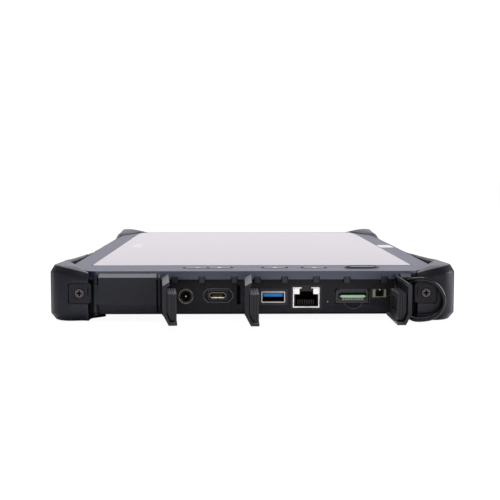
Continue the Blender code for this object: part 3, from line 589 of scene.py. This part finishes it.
def bumper_section(station, side):
    """A bumper's outline across a station, counted from the groove over the top and round below."""
    inner_x, inner_y, outer_x, outer_y, ridge, groove, foot = station
    pocket = max(0.0, min(1.0, (inner_y - POCKET[0]) / 1.2, (POCKET[1] - inner_y) / 14))
    inner, outer = Vector((inner_x, inner_y)), Vector((outer_x, outer_y))
    reach = (outer - inner).length
    across = (outer - inner) / reach
    chamfer, heel = min(3.0, reach * 0.4), min(3.9, reach * 0.45)
    corners = [
        (0.0, groove), (reach * (0.3 + 0.12 * pocket), groove + (ridge - groove) * 0.75),
        (reach - chamfer * (1 - 0.3 * pocket), ridge),
        (reach, ridge - 3.8), (reach, 4.3), (reach - heel, 0.0), (-foot, 0.0), (-foot, 1.4),
        (-foot * 0.3, 2.25), (0.0, 2.25),
    ]
    radii = [0.3, 0.9 - 0.6 * pocket, 0.45, 0.5, 0.8, 0.7, 0.5, 0.4, 0.8, 0.2]
    outline = round_corners(corners, radii, 2)
    flat = [(inner + across * u, z) for u, z in outline]
    return [at(side * p.x, p.y, z) for p, z in flat]


def finish_of(column, station, crest):
    """The finish of the face in a column past a station: painted shade on the near chamfer and in the
    pocket, a painted highlight on the ribs' crests; crest is the height of the ribs there.
    """
    _, inner_y, _, outer_y, ridge, _, _ = station
    # the near chamfer is painted darker as shade
    if column == CHAMFER_COLUMN and outer_y < -112:
        return SHADED_CHAMFER
    # the pocket beside the bezel is painted black as shade
    if column in POCKET_COLUMNS and POCKET[0] - 1 < inner_y < POCKET[1] - 2:
        return SHADED_POCKET
    # the ribs' crests are painted lighter as a highlight
    if column in TOP_COLUMNS and RIBS[0] < inner_y < RIBS[1] and ridge > crest - 0.2:
        return LIT_CREST
    return RUBBER


def bumper(side, end):
    """A corner bumper, with the retainer's seat and the screw's hole cut out of it."""
    where = corner_name(side, end)
    stations = bumper_stations(end)
    rings = [bumper_section(station, side) for station in stations]
    body = skin(rings)
    body.faces.ensure_lookup_table()
    count = len(rings[0])
    # each face is painted by finish_of: shade on the chamfer and in the pocket, a highlight on the rib
    # crests
    for row, here in enumerate(stations[:-1]):
        crest = max(station[4] for station in stations[max(0, row - 3):row + 4])
        for column in range(count):
            body.faces[row * count + column].material_index = finish_of(column, here, crest)
    x = sorted((side * 86, side * 102.3))
    y = sorted((end * (CASE_END - 2.2), end * (CASE_END + 3)))
    seat = slab(rectangle(x[0], 9.7, x[1], 21.5, 1.7), *y, "XZ")
    hole = turned([(1.8, -35), (1.8, 35)], (side * SCREW_X, end * 160, SCREW_HEIGHT), "Y")
    piece(f"bumper_{where}_skin", body, BUMPER_FINISHES, replaces=(f"bumper_{where}",),
          cut=(seat, hole))


# ---------------------------------------------------------------- doors

DOORS = {  # hinge x, side that the closed panel runs to, length, opening at rest in degrees
    "power_door": (-49.3, 1, 40.2, 85.0), "network_door": (-3.3, 1, 42.2, 90.0),
    "card_door": (80.3, -1, 39.3, 90.0), "end_door": (-87.5, 1, 33.8, 0.0),
}


def door_slab(name, outline, low, high, inner=None):
    """A slab, or a frame, on a door: outline is distance from the hinge and height, low and high
    are depth behind the outer wall, and the door's opening at rest is applied."""
    hinge_x, side, _, opening = DOORS[name]
    lines = [(outline, low), (outline, high)]
    if inner:
        lines += [(inner, high), (inner, low)]
    rings = [[at(hinge_x + side * out, DOOR_WALL + depth, z) for out, z in line]
             for line, depth in lines]
    shape = skin(rings, loop=bool(inner))
    turn = Matrix.Rotation(math.radians(-side * opening), 3, "Z")
    bmesh.ops.rotate(shape, cent=at(hinge_x, HINGE_Y, 0), matrix=turn, verts=shape.verts)
    return shape


def doors():
    """The doors' shells, and their seals with two grooves round each plug and a hollow in its face."""
    for name, (_, _, length, _) in DOORS.items():
        rounded(f"{name}_shell", 0.5, "rubber", name, segments=3)
        outer = oblong(12, 4, length - 2, 21)
        inner = oblong(13.6, 6.2, length - 3.6, 19.0)
        grooves = [door_slab(name, outer, low, high, inner) for low, high in ((4.3, 4.7), (5.6, 6.0))]
        grooves.append(door_slab(name, rectangle(17, 8.6, length - 7, 16.6, 1.2), 6.7, 8))
        piece(f"{name}_seal_finish", cad_shape(f"{name}_seal"), "seal", name, (f"{name}_seal",), 0.3,
              3, cut=grooves)


# ---------------------------------------------------------------- parts that keep their CAD shape

ROUNDED = (  # node, material, body, how wide its edges are rounded
    ("battery_pack", "housing", "case", 0.6), ("dock_connector", "black", "case", 0.4),
    ("battery_latch_left", "screw", "latch_left", 0.3),
    ("battery_latch_right", "screw", "latch_right", 0.3),
    ("usb_a_shell", "steel", "case", 0.12), ("usb_a_tongue", "blue", "case", 0.2),
    ("rj45_shield", "shield", "case", 0.12), ("rj45_insert", "black", "case", 0.1),
    ("card_socket", "black", "case", 0.2), ("memory_card", "card", "case", 0.12),
    ("audio_jack", "black", "case", 0.25), ("reset_button", "black", "reset_body", 0.1),
    ("volume_down_key", "key", "volume_down_key_body", 0.45),
    ("volume_up_key", "key", "volume_up_key_body", 0.45),
    ("function_key_left", "key", "function_key_left_body", 0.45),
    ("function_key_right", "key", "function_key_right_body", 0.45),
    ("side_grip_left", "rubber", "case", 0.3), ("side_grip_right", "rubber", "case", 0.3),
    ("rear_camera_window", "glass", "case", 0.2),
)
HIDDEN = {  # shown as they are in the CAD, only with a material
    "display_gasket": "seal", "lcd_module": "alloy", "mid_frame": "alloy", "mainboard": "board",
    "io_board": "board", "heat_spreader": "copper", "speaker": "black", "rear_camera_module": "black",
    "power_door_pin": "black", "network_door_pin": "black", "card_door_pin": "black",
    "end_door_pin": "black",
}


def plain_parts():
    for node, material, body, width in ROUNDED:
        rounded(node, width, material, body)
    for node, material in HIDDEN.items():
        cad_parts[node].data.materials.clear()
        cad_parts[node].data.materials.append(look(material))
    rounded("rear_housing", 0.3, "housing")
    for corner in CORNERS:
        rounded(f"retainer_{corner_name(*corner)}", 0.4, "housing")
        rounded(f"screw_{corner_name(*corner)}", 0.15, "screw")


# ---------------------------------------------------------------- ports

FRONT = PORT_FACE - 0.1  # the ports' faces, just proud of the bays' floor


def spaced(first, pitch, count):
    return [first + pitch * i for i in range(count)]


def octagon(x0, z0, x1, z1, cut):
    return [(x0 + cut, z0), (x1 - cut, z0), (x1, z0 + cut), (x1, z1 - cut),
            (x1 - cut, z1), (x0 + cut, z1), (x0, z1 - cut), (x0, z0 + cut)]


def power_jack():
    """A black barrel with a dull rim, a brass lip, a black plug painted in its hole as shade, and its
    pin.
    """
    centre = (-37.8, 0, 12.7)
    back = FRONT + 1.0
    barrel = turned([(3.9, -146), (3.9, FRONT), (3.0, FRONT), (2.9, -149)], centre, "Y")
    piece("dc_jack_barrel", barrel, "black", replaces=("dc_jack",))
    rim = [(4.25, back), (4.25, FRONT), (3.95, FRONT - 0.15), (3.7, FRONT), (3.7, back)]
    lip = [(3.1, back), (3.1, FRONT - 0.1), (2.9, FRONT + 0.3), (2.9, back)]
    # a black plug inside the hole: painted shade in its depth
    hole = [(2.85, FRONT + 0.9), (2.85, -150.5)]
    pin = [(0.6, -151), (0.6, back), (0.3, FRONT + 0.5)]
    for name, profile, sides, material in (("rim", rim, 48, "dull"), ("lip", lip, 32, "brass"),
                                           ("depth", hole, 32, "void"), ("pin", pin, 16, "gold")):
        extra(f"dc_jack_{name}", turned(profile, centre, "Y", sides), material)


def usb_c():
    """A plate in two thin frames painted lighter as highlight lines, with the shell, the tongue and
    the contacts in its opening.
    """
    middle = (-19.9, 13.0)
    mouth = stadium(middle, 8.6, 2.7)
    plate = slab(octagon(-27.9, 9.3, -11.4, 17.1, 2.4), FRONT + 1.6, -156.6, "XZ")
    opening = slab(stadium(middle, 9.4, 3.5), -170, -150, "XZ")
    piece("usb_c_plate", plate, "housing", replaces=("usb_c_port",), cut=(opening,), bevel=0.2)
    # the outer raised frame is painted lighter than the plate as a highlight line
    outer = frame_slab(octagon(-28.2, 9.0, -11.1, 17.4, 2.6), octagon(-27.5, 9.7, -11.8, 16.7, 2.3),
                       FRONT - 0.1, FRONT + 1.8, "XZ")
    extra("usb_c_frame", outer, "line", bevel=0.15)
    # the inner raised frame is painted lighter than the plate as a highlight line
    inner = frame_slab(rectangle(-25.2, 10.3, -14.6, 16.1, 0.8),
                       rectangle(-24.9, 10.6, -14.9, 15.8, 0.6), FRONT + 1.4, FRONT + 1.8, "XZ")
    extra("usb_c_step", inner, "line")
    shell = frame_slab(stadium(middle, 9.3, 3.4), mouth, FRONT + 1.2, -150, "XZ")
    extra("usb_c_shell", shell, "dull")
    # a black sheet at the back of the mouth: painted shade
    extra("usb_c_depth", slab(mouth, -156.4, -156.0, "XZ"), "void")
    tongue = slab(rectangle(-22.9, 12.75, -16.9, 13.35, 0.15), FRONT + 1.8, -156.2, "XZ")
    extra("usb_c_tongue", tongue, "black")
    contacts = slab(rectangle(-23.4, 11.65, -16.4, 12.05, 0.1), FRONT + 1.3, -156.2, "XZ")
    extra("usb_c_contacts", contacts, "gold")


def usb_a():
    """The seat round the USB-A shell, a black sheet behind it painted as the shade in its depth, and
    the contacts on the tongue.
    """
    seat = frame_slab(rectangle(3.4, 7.7, 19.6, 16.9, 1.5), rectangle(4.5, 8.8, 18.5, 15.6, 0.6),
                      FRONT - 0.12, FRONT + 0.3, "XZ")
    extra("usb_a_seat", seat, "black", bevel=0.12)
    # a black sheet deep in the socket: painted shade
    depth = slab(rectangle(5.35, 9.6, 17.65, 14.8, 0.1), -149.5, -149, "XZ")
    extra("usb_a_depth", depth, "void")
    contacts = row_of([rectangle(x, 12.2, x + 0.9, 12.4, 0.02) for x in (7.1, 9.6, 12.5, 15.0)],
                      FRONT + 2.2, -150, "XZ")
    extra("usb_a_contacts", contacts, "brass")


def network():
    """Fine contacts, pale upper corners, the dark latch tab, and a black sheet painted as the shade in
    the depth of the RJ45 socket.
    """
    contacts = row_of([rectangle(x, 7.45, x + 0.45, 10.4, 0.05) for x in spaced(25.3, 1.27, 8)],
                      FRONT + 2.6, -150, "XZ")
    extra("rj45_contacts", contacts, "contact")
    corners = row_of([rectangle(x0, 13.9, x1, 17.0, 0.1) for x0, x1 in ((23.3, 26.3), (34.1, 36.9))],
                     FRONT - 0.05, FRONT + 0.6, "XZ")
    extra("rj45_corners", corners, "shield", bevel=0.08)
    tab = slab([(27.6, 15.5), (33.1, 15.5), (33.1, 17.9), (31.6, 17.9), (31.2, 18.3), (29.4, 18.3),
                (29.0, 17.9), (27.6, 17.9)], FRONT - 0.12, FRONT + 0.5, "XZ")
    extra("rj45_tab", tab, "seal", bevel=0.1)
    seat = frame_slab(rectangle(21.4, 5.2, 38.8, 18.9, 0.8), rectangle(22.3, 5.9, 37.9, 18.0, 0.3),
                      FRONT - 0.1, FRONT + 0.3, "XZ")
    extra("rj45_seat", seat, "black", bevel=0.1)
    # a black sheet deep in the socket: painted shade
    depth = slab(rectangle(24.1, 7.5, 36.2, 13.6, 0.1), -147.5, -147, "XZ")
    extra("rj45_depth", depth, "void")


def card_slot():
    """The slot's stepped outline, the card's edge over its contacts, and the finger notch below."""
    def stepped(grow):
        x0, x1, x2, x3 = 47.2 - grow, 49.4 - grow, 64.0 + grow, 65.8 + grow
        z0, z1, z2 = 9.2 - grow, 14.4 + grow, 16.4 + grow
        return [(x0, z0), (x3, z0), (x3, z1), (x2, z1), (x2, z2), (x1, z2), (x1, z1), (x0, z1)]
    # the slot's rim is painted lighter as a highlight line
    rim = frame_slab(stepped(0.35), stepped(0.0), FRONT - 0.12, FRONT + 0.4, "XZ")
    extra("card_slot_rim", rim, "line", bevel=0.08)
    # the slot's inside is painted black as shade
    seat = slab(stepped(0.0), FRONT + 0.05, FRONT + 0.3, "XZ")
    extra("card_slot_seat", seat, "void")
    strip = [(49.0, 12.5), (50.4, 11.8), (62.5, 11.8), (63.9, 12.5), (62.8, 13.3), (50.0, 13.3)]
    extra("card_edge", slab(strip, FRONT - 0.1, FRONT + 0.4, "XZ"), "card", bevel=0.06)
    contacts = row_of([rectangle(x, 10.7, x + 1.0, 11.5, 0.1) for x in spaced(50.6, 1.5, 8)],
                      FRONT - 0.05, FRONT + 0.3, "XZ")
    extra("card_contacts", contacts, "khaki")
    rail = slab(rectangle(50.2, 10.4, 63.1, 10.65, 0.05), FRONT - 0.08, FRONT + 0.3, "XZ")
    extra("card_rail", rail, "dull")
    notch = (56.8, 11.2)
    # the notch's lip is painted lighter as a highlight line
    lip = arc(notch, 5.85, 205, 335, 24) + arc(notch, 5.45, 335, 205, 24)
    extra("card_notch_lip", slab(lip, PORT_FACE - 0.2, PORT_FACE + 0.1, "XZ"), "line")


def audio():
    """The audio jack's seat, its pale corners, the round hole painted black as shade, and one bright
    contact.
    """
    seat = frame_slab(rectangle(66.8, 11.2, 76.0, 17.4, 0.3), rectangle(67.4, 11.8, 75.4, 16.8, 0.2),
                      FRONT - 0.1, FRONT + 0.2, "XZ")
    extra("audio_seat", seat, "black", bevel=0.1)
    spans = (67.7, 12.1, 69.2, 16.5), (74.0, 12.1, 75.2, 16.5), (69.2, 12.1, 74.0, 12.5)
    corners = row_of([rectangle(*span, 0.15) for span in spans], FRONT - 0.06, FRONT + 0.3, "XZ")
    extra("audio_corners", corners, "khaki")
    # the hole is a black plug: painted shade
    hole = turned([(2.1, FRONT - 0.1), (1.75, FRONT + 0.3), (1.7, -150)], (71.6, 0, 14.4), "Y", 24)
    extra("audio_hole", hole, "void")
    spot = slab(rectangle(71.3, 16.0, 72.1, 16.6, 0.1), FRONT - 0.12, FRONT + 0.2, "XZ")
    extra("audio_contact", spot, "gold")


def bay_details():
    """A slit between the bays and a line at their foot, both painted black as shade, and the tabs that
    hang from the skirt.
    """
    # the slit is painted black as shade
    slit = slab(rectangle(-9.05, 8.15, -7.05, 19.05, 0.1), PORT_FACE + 1.2, PORT_FACE + 1.9, "XZ")
    extra("bay_slit", slit, "void")
    # the line at the bays' foot is painted black as shade
    foot = slab(rectangle(-51.2, 2.66, 82.1, 3.4, 0.05), PORT_FACE - 0.06, PORT_FACE + 0.3, "XZ")
    extra("bay_foot", foot, "void")
    notches = (-43.9, -28.6, -10.4, 2.4, 17.7, 35.4, 52.7, 73.7)
    tabs = row_of([rectangle(x - 1.65, 20.7, x + 1.65, 24.1, 0.3) for x in notches],
                  -163.2, -160.6, "XZ")
    extra("skirt_tabs", tabs, "black", bevel=0.3)
    rims = row_of([rectangle(x - 1.85, 24.0, x + 1.85, 24.25, 0.05) for x in notches],
                  -163.3, -161, "XZ")
    extra("skirt_tab_rims", rims, "bezel")
    spot = turned([(0.4, FRONT - 0.05), (0.3, FRONT + 0.3)], (42.3, 0, 9.6), "Y", 12)
    extra("reset_mark", spot, "brass")


# ---------------------------------------------------------------- keys and power button

KEY_ROW = -145.4
KEY_TOP = 27.6
KEY_SLOTS = (("volume", -39.3, -12.2), ("function_left", 6.3, 19.4), ("function_right", 29.0, 41.8))
KEY_MARKS = (("volume_down_key", -31.5), ("volume_up_key", -19.2), ("function_key_left", 13.0),
             ("function_key_right", 35.6))
KEY_DOTS = (-39.2, -25.6, -11.9, 5.9, 19.7, 28.7, 42.1)


def key_marks():
    """Small plain marks on the keys, and the gaps round them and the dots at the ends of their slots,
    painted black as shade.
    """
    # dots at the slots' ends painted black as shade
    for index, x in enumerate(KEY_DOTS):
        dot = turned([(0.85, BEZEL_TOP - 0.1), (0.85, KEY_TOP + 0.06)], (x, KEY_ROW, 0), "Z", 16)
        extra(f"key_dot_{index}", dot, "void")
    # the gaps round the keys painted black as shade
    for name, x0, x1 in KEY_SLOTS:
        middle, length = ((x0 + x1) / 2, KEY_ROW), x1 - x0
        gap = frame_slab(stadium(middle, length + 0.7, 6.1), stadium(middle, length, 5.4),
                         BEZEL_TOP - 0.2, BEZEL_TOP + 0.06)
        extra(f"{name}_gap", gap, "void")
    for name, x in KEY_MARKS:
        mark = slab(stadium((x, KEY_ROW - 0.8), 2.4, 1.0, 6), KEY_TOP - 0.05, KEY_TOP + 0.03)
        extra(f"{name}_mark", mark, "pale", f"{name}_body")


def power_button():
    """A broad cap in a thin raised ring, on the button's own stem and flange."""
    x = 63.25
    centre = (x, KEY_ROW)
    stem = slab(rectangle(x - 5, KEY_ROW - 1.8, x + 5, KEY_ROW + 1.8, 0.3), 22.0, 27.2)
    flange = slab(rectangle(x - 8.5, KEY_ROW - 3.4, x + 8.5, KEY_ROW + 3.4, 0.3), 21.6, 22.3)
    cap = slab(stadium(centre, 16.4, 6.8), 27.12, 28.1)
    piece("power_button_cap", joined(stem, flange, cap), "button", "power_button_body",
          ("power_button",), 0.35, 3)
    boss = frame_slab(stadium(centre, 20.6, 11.2), stadium(centre, 19.06, 9.66),
                      BEZEL_TOP - 0.2, BEZEL_TOP + 0.45)
    extra("power_button_boss", boss, "bezel", bevel=0.28, segments=3)
    ring = frame_slab(stadium(centre, 19.0, 9.6), stadium(centre, 16.9, 7.3), 26.7, 28.5)
    piece("power_button_ring", ring, "cord", replaces=("power_ring",), bevel=0.35, segments=3)


# ---------------------------------------------------------------- screws, marks and display


def cross(u, v, half_width, low, high, plane="XY"):
    """The cross recess in a screw's head."""
    arms = (1.5, half_width), (half_width, 1.5)
    return row_of([rectangle(u - a, v - b, u + a, v + b, 0.05) for a, b in arms], low, high, plane)


def screws():
    """The cross recesses, the rims of the screws' seats and a slit in each retainer, all painted black
    as shade.
    """
    for side, end in CORNERS:
        where = corner_name(side, end)
        x, z, face = side * SCREW_X, SCREW_HEIGHT, end * CASE_END
        # the cross recess painted black as shade
        recess = cross(x, z, 0.4, *sorted((face - end * 0.65, face - end * 0.75)), "XZ")
        extra(f"screw_{where}_cross", recess, "void")
        # the seat's rim painted black as shade
        rim = turned([(2.75, face - end * 0.9), (2.75, face - end * 0.62), (2.5, face - end * 0.58),
                      (2.45, face - end * 0.9)], (x, 0, z), "Y")
        extra(f"screw_{where}_seat", rim, "void")
        front = (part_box(f"retainer_{where}")[0 if end < 0 else 1].y - SHIFT) / MM
        middle = side * 91.3
        depths = sorted((front - end * 0.3, front + end * 0.02))
        # the slit painted black as shade
        slit = slab(rectangle(middle - 0.25, 14.4, middle + 0.25, 19.2, 0.1), *depths, "XZ")
        extra(f"retainer_{where}_slit", slit, "void")


def glass_mark():
    bar = slab(rectangle(-84.8, -2.0, -78.4, 31.0, 1.0), GLASS_TOP - 0.05, GLASS_TOP + 0.02)
    extra("glass_mark", bar, "mark")


def display_area():
    """The darker lit area behind the glass, and the camera and sensor beside it."""
    area = slab(rectangle(-88.6, -125.6, 88.6, 151.0, 0.8), GLASS_TOP - 0.05, GLASS_TOP + 0.012)
    extra("display_area", area, "screen")
    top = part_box("front_camera_window")[1].z / MM
    lens = turned([(2.6, top - 0.2), (2.6, top + 0.03), (1.6, top + 0.03), (1.5, top - 0.05)],
                  (100, 4.0, 0), "Z", 24)
    extra("front_camera_lens", lens, "lens")
    sensor = turned([(1.2, top - 0.2), (1.2, top + 0.03)], (100, 14.0, 0), "Z", 16)
    extra("front_light_sensor", sensor, "lens")


# ---------------------------------------------------------------- underside, sides and far end

BOTTOM = 2.6
INTO = BOTTOM + 0.2  # how far into the case most pieces on its bottom reach
REAR_CAMERA = (62, -118)


def rear_screws():
    for index, (x, y) in enumerate([(x, y) for y in (-148, -60, 10, 154) for x in (-93, 0, 93)]):
        if x == 0 and y in (-60, 10):
            continue
        head = turned([(2.6, BOTTOM - 0.35), (2.9, BOTTOM - 0.05), (2.9, BOTTOM + 0.3)], (x, y, 0),
                      "Z", 24)
        extra(f"rear_screw_{index}", head, "screw")
        # the cross recess painted black as shade
        extra(f"rear_screw_{index}_cross", cross(x, y, 0.35, BOTTOM - 0.38, BOTTOM - 0.3), "void")


def battery_cover():
    ridges = row_of([rectangle(-66, y, 66, y + 1.6, 0.7) for y in spaced(26, 3.6, 5)],
                    BOTTOM - 0.6, INTO)
    extra("battery_ridges", ridges, "rubber", bevel=0.3)
    # the panel's seam painted black as shade
    frame_line = frame_slab(rectangle(-70, 50, 70, 122, 3), rectangle(-69.2, 50.8, 69.2, 121.2, 2.6),
                            BOTTOM - 0.04, INTO)
    extra("battery_panel_line", frame_line, "void")


def vents():
    # vent holes painted black as shade
    holes = row_of([stadium((x, y), 2.0, 2.0, 8) for y in spaced(36, 4.2, 11)
                    for x in (84.6, 88.6, 92.6)], BOTTOM - 0.03, INTO)
    extra("speaker_vents", holes, "void")
    # cooling slots painted black as shade
    slots = row_of([stadium((x, y), 26.0, 1.8, 6) for x in (-46, 0, 46)
                    for y in spaced(-92, 4.4, 9)], BOTTOM - 0.03, INTO)
    extra("cooling_slots", slots, "void")


def latch_marks():
    """An arrow beside each latch, the way it slides to let the battery go, and a black plate behind
    painted as shade.
    """
    for name, side in (("left", -1), ("right", 1)):
        x = side * 58
        arrow = slab([(x - side * 3.2, 12.6), (x - side * 3.2, 17.0), (x + side * 2.6, 14.8)],
                     BOTTOM - 0.03, BOTTOM + 0.1)
        extra(f"latch_arrow_{name}", arrow, "pale")
        # a black plate in the latch's well: painted shade
        well = slab(rectangle(x - 14, -1.5, x + 14, 13.5, 0.5), 6.5, 6.8)
        extra(f"latch_well_{name}", well, "void")


def rear_camera():
    """The rear camera's surround and lens, and its lamp."""
    ring = frame_slab(stadium(REAR_CAMERA, 24.0, 24.0), stadium(REAR_CAMERA, 16.0, 16.0),
                      BOTTOM - 0.5, BOTTOM + 0.4)
    extra("rear_camera_surround", ring, "rubber", bevel=0.3)
    # the lens is a black disc painted as the shade behind its glass
    lens = turned([(3.6, BOTTOM - 0.02), (3.6, INTO)], (*REAR_CAMERA, 0), "Z", 24)
    extra("rear_camera_lens", lens, "void")
    lamp = turned([(2.2, BOTTOM - 0.15), (2.5, INTO)], (40, REAR_CAMERA[1], 0), "Z", 24)
    extra("rear_camera_lamp", lamp, "window")


def rest_pads():
    pads = row_of([stadium((x, y), 26.0, 9.0, 8) for x in (-66, 66) for y in (-138, 146)],
                  BOTTOM - 0.9, INTO)
    extra("rest_pads", pads, "rubber", bevel=0.3)


def sides():
    """Fine ridges on the side grips, with gaps, and gold contacts in the dock connector."""
    for name, side, gaps in (("left", -1, ((-17, 8), (25, 8), (-3, 18))),
                             ("right", 1, ((-30, 8), (40, 8)))):
        kept = [y for y in spaced(-34, 3.4, 37)
                if all(abs(y - middle) > half for middle, half in gaps)]
        ridges = row_of([rectangle(y - 0.7, 8.5, y + 0.7, 24.0, 0.3) for y in kept],
                        *sorted((side * 107.4, side * 108.1)), "YZ")
        extra(f"side_ridges_{name}", ridges, "rubber", bevel=0.25)
    pins = row_of([rectangle(y - 0.8, 11.6, y + 0.8, 13.4, 0.6) for y in spaced(-12.6, 2.4, 9)],
                  -106.45, -106.1, "YZ")
    extra("dock_pins", pins, "gold")


def far_end():
    """Vent slits and a lock slot in the far wall, both painted black inside as shade."""
    wall = 165.2
    # the vent slits painted black as shade
    slits = row_of([rectangle(x, 9.0, x + 2.2, 17.0, 1.0) for x in spaced(-70, 4.6, 12)],
                   wall - 0.2, wall + 0.04, "XZ")
    extra("far_vents", slits, "void")
    lip = frame_slab(rectangle(44, 8, 58, 18, 2.5), rectangle(46.6, 10.6, 55.4, 15.4, 1.2),
                     wall - 0.2, wall + 0.3, "XZ")
    extra("lock_slot_lip", lip, "dull", bevel=0.15)
    # the slot's inside painted black as shade
    hole = slab(rectangle(46.4, 10.4, 55.6, 15.6, 1.0), wall - 0.2, wall + 0.05, "XZ")
    extra("lock_slot", hole, "void")


# ---------------------------------------------------------------- tether loop

CORD_WIDTH = 2.7
LOOP_ROUTE = (
    (85.4, -168.1, 21.9), (85.9, -170.2, 22.6), (87.4, -172.2, 23.3), (90.4, -173.2, 23.7),
    (94.8, -173.0, 23.5), (99.6, -172.3, 21.6), (103.4, -171.8, 18.0), (105.3, -171.6, 13.4),
    (104.9, -171.8, 8.8), (102.4, -172.4, 4.8), (98.3, -173.2, 2.3), (93.6, -174.0, 1.6),
    (89.6, -174.0, 1.6), (87.2, -172.8, 2.3), (85.9, -170.6, 3.6), (85.4, -168.1, 4.7),
)


def tether():
    """The loop as a round cord along the same route as in the CAD, smoothed between its points."""
    fine = [between(LOOP_ROUTE, i, k / 4) for i in range(len(LOOP_ROUTE) - 1) for k in range(4)]
    fine.append(LOOP_ROUTE[-1])
    route = [at(*place) for place in fine]
    curve = bpy.data.curves.new("tether_cord", "CURVE")
    curve.dimensions = "3D"
    curve.bevel_depth = CORD_WIDTH / 2 * MM
    curve.bevel_resolution = 5
    curve.use_fill_caps = True
    spline = curve.splines.new("POLY")
    spline.points.add(len(route) - 1)
    for point, place in zip(spline.points, route):
        point.co = (*place, 1.0)
    cord = bpy.data.objects.new("tether_cord", curve)
    bpy.context.scene.collection.objects.link(cord)
    curve.materials.append(look("cord"))
    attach(cord, "case")
    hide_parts("tether_loop")


# ---------------------------------------------------------------- the scene

bpy.context.scene.view_settings.view_transform = "Standard"
set_camera()
set_world()
set_floor()
for light in LIGHTS:
    area_light(*light)

bezel()
glass()
for corner in CORNERS:
    bumper(*corner)
doors()
plain_parts()
for port in (power_jack, usb_c, usb_a, network, card_slot, audio, bay_details):
    port()
key_marks()
power_button()
screws()
glass_mark()
display_area()
for detail in (rear_screws, battery_cover, vents, latch_marks, rear_camera, rest_pads):
    detail()
sides()
far_end()
tether()
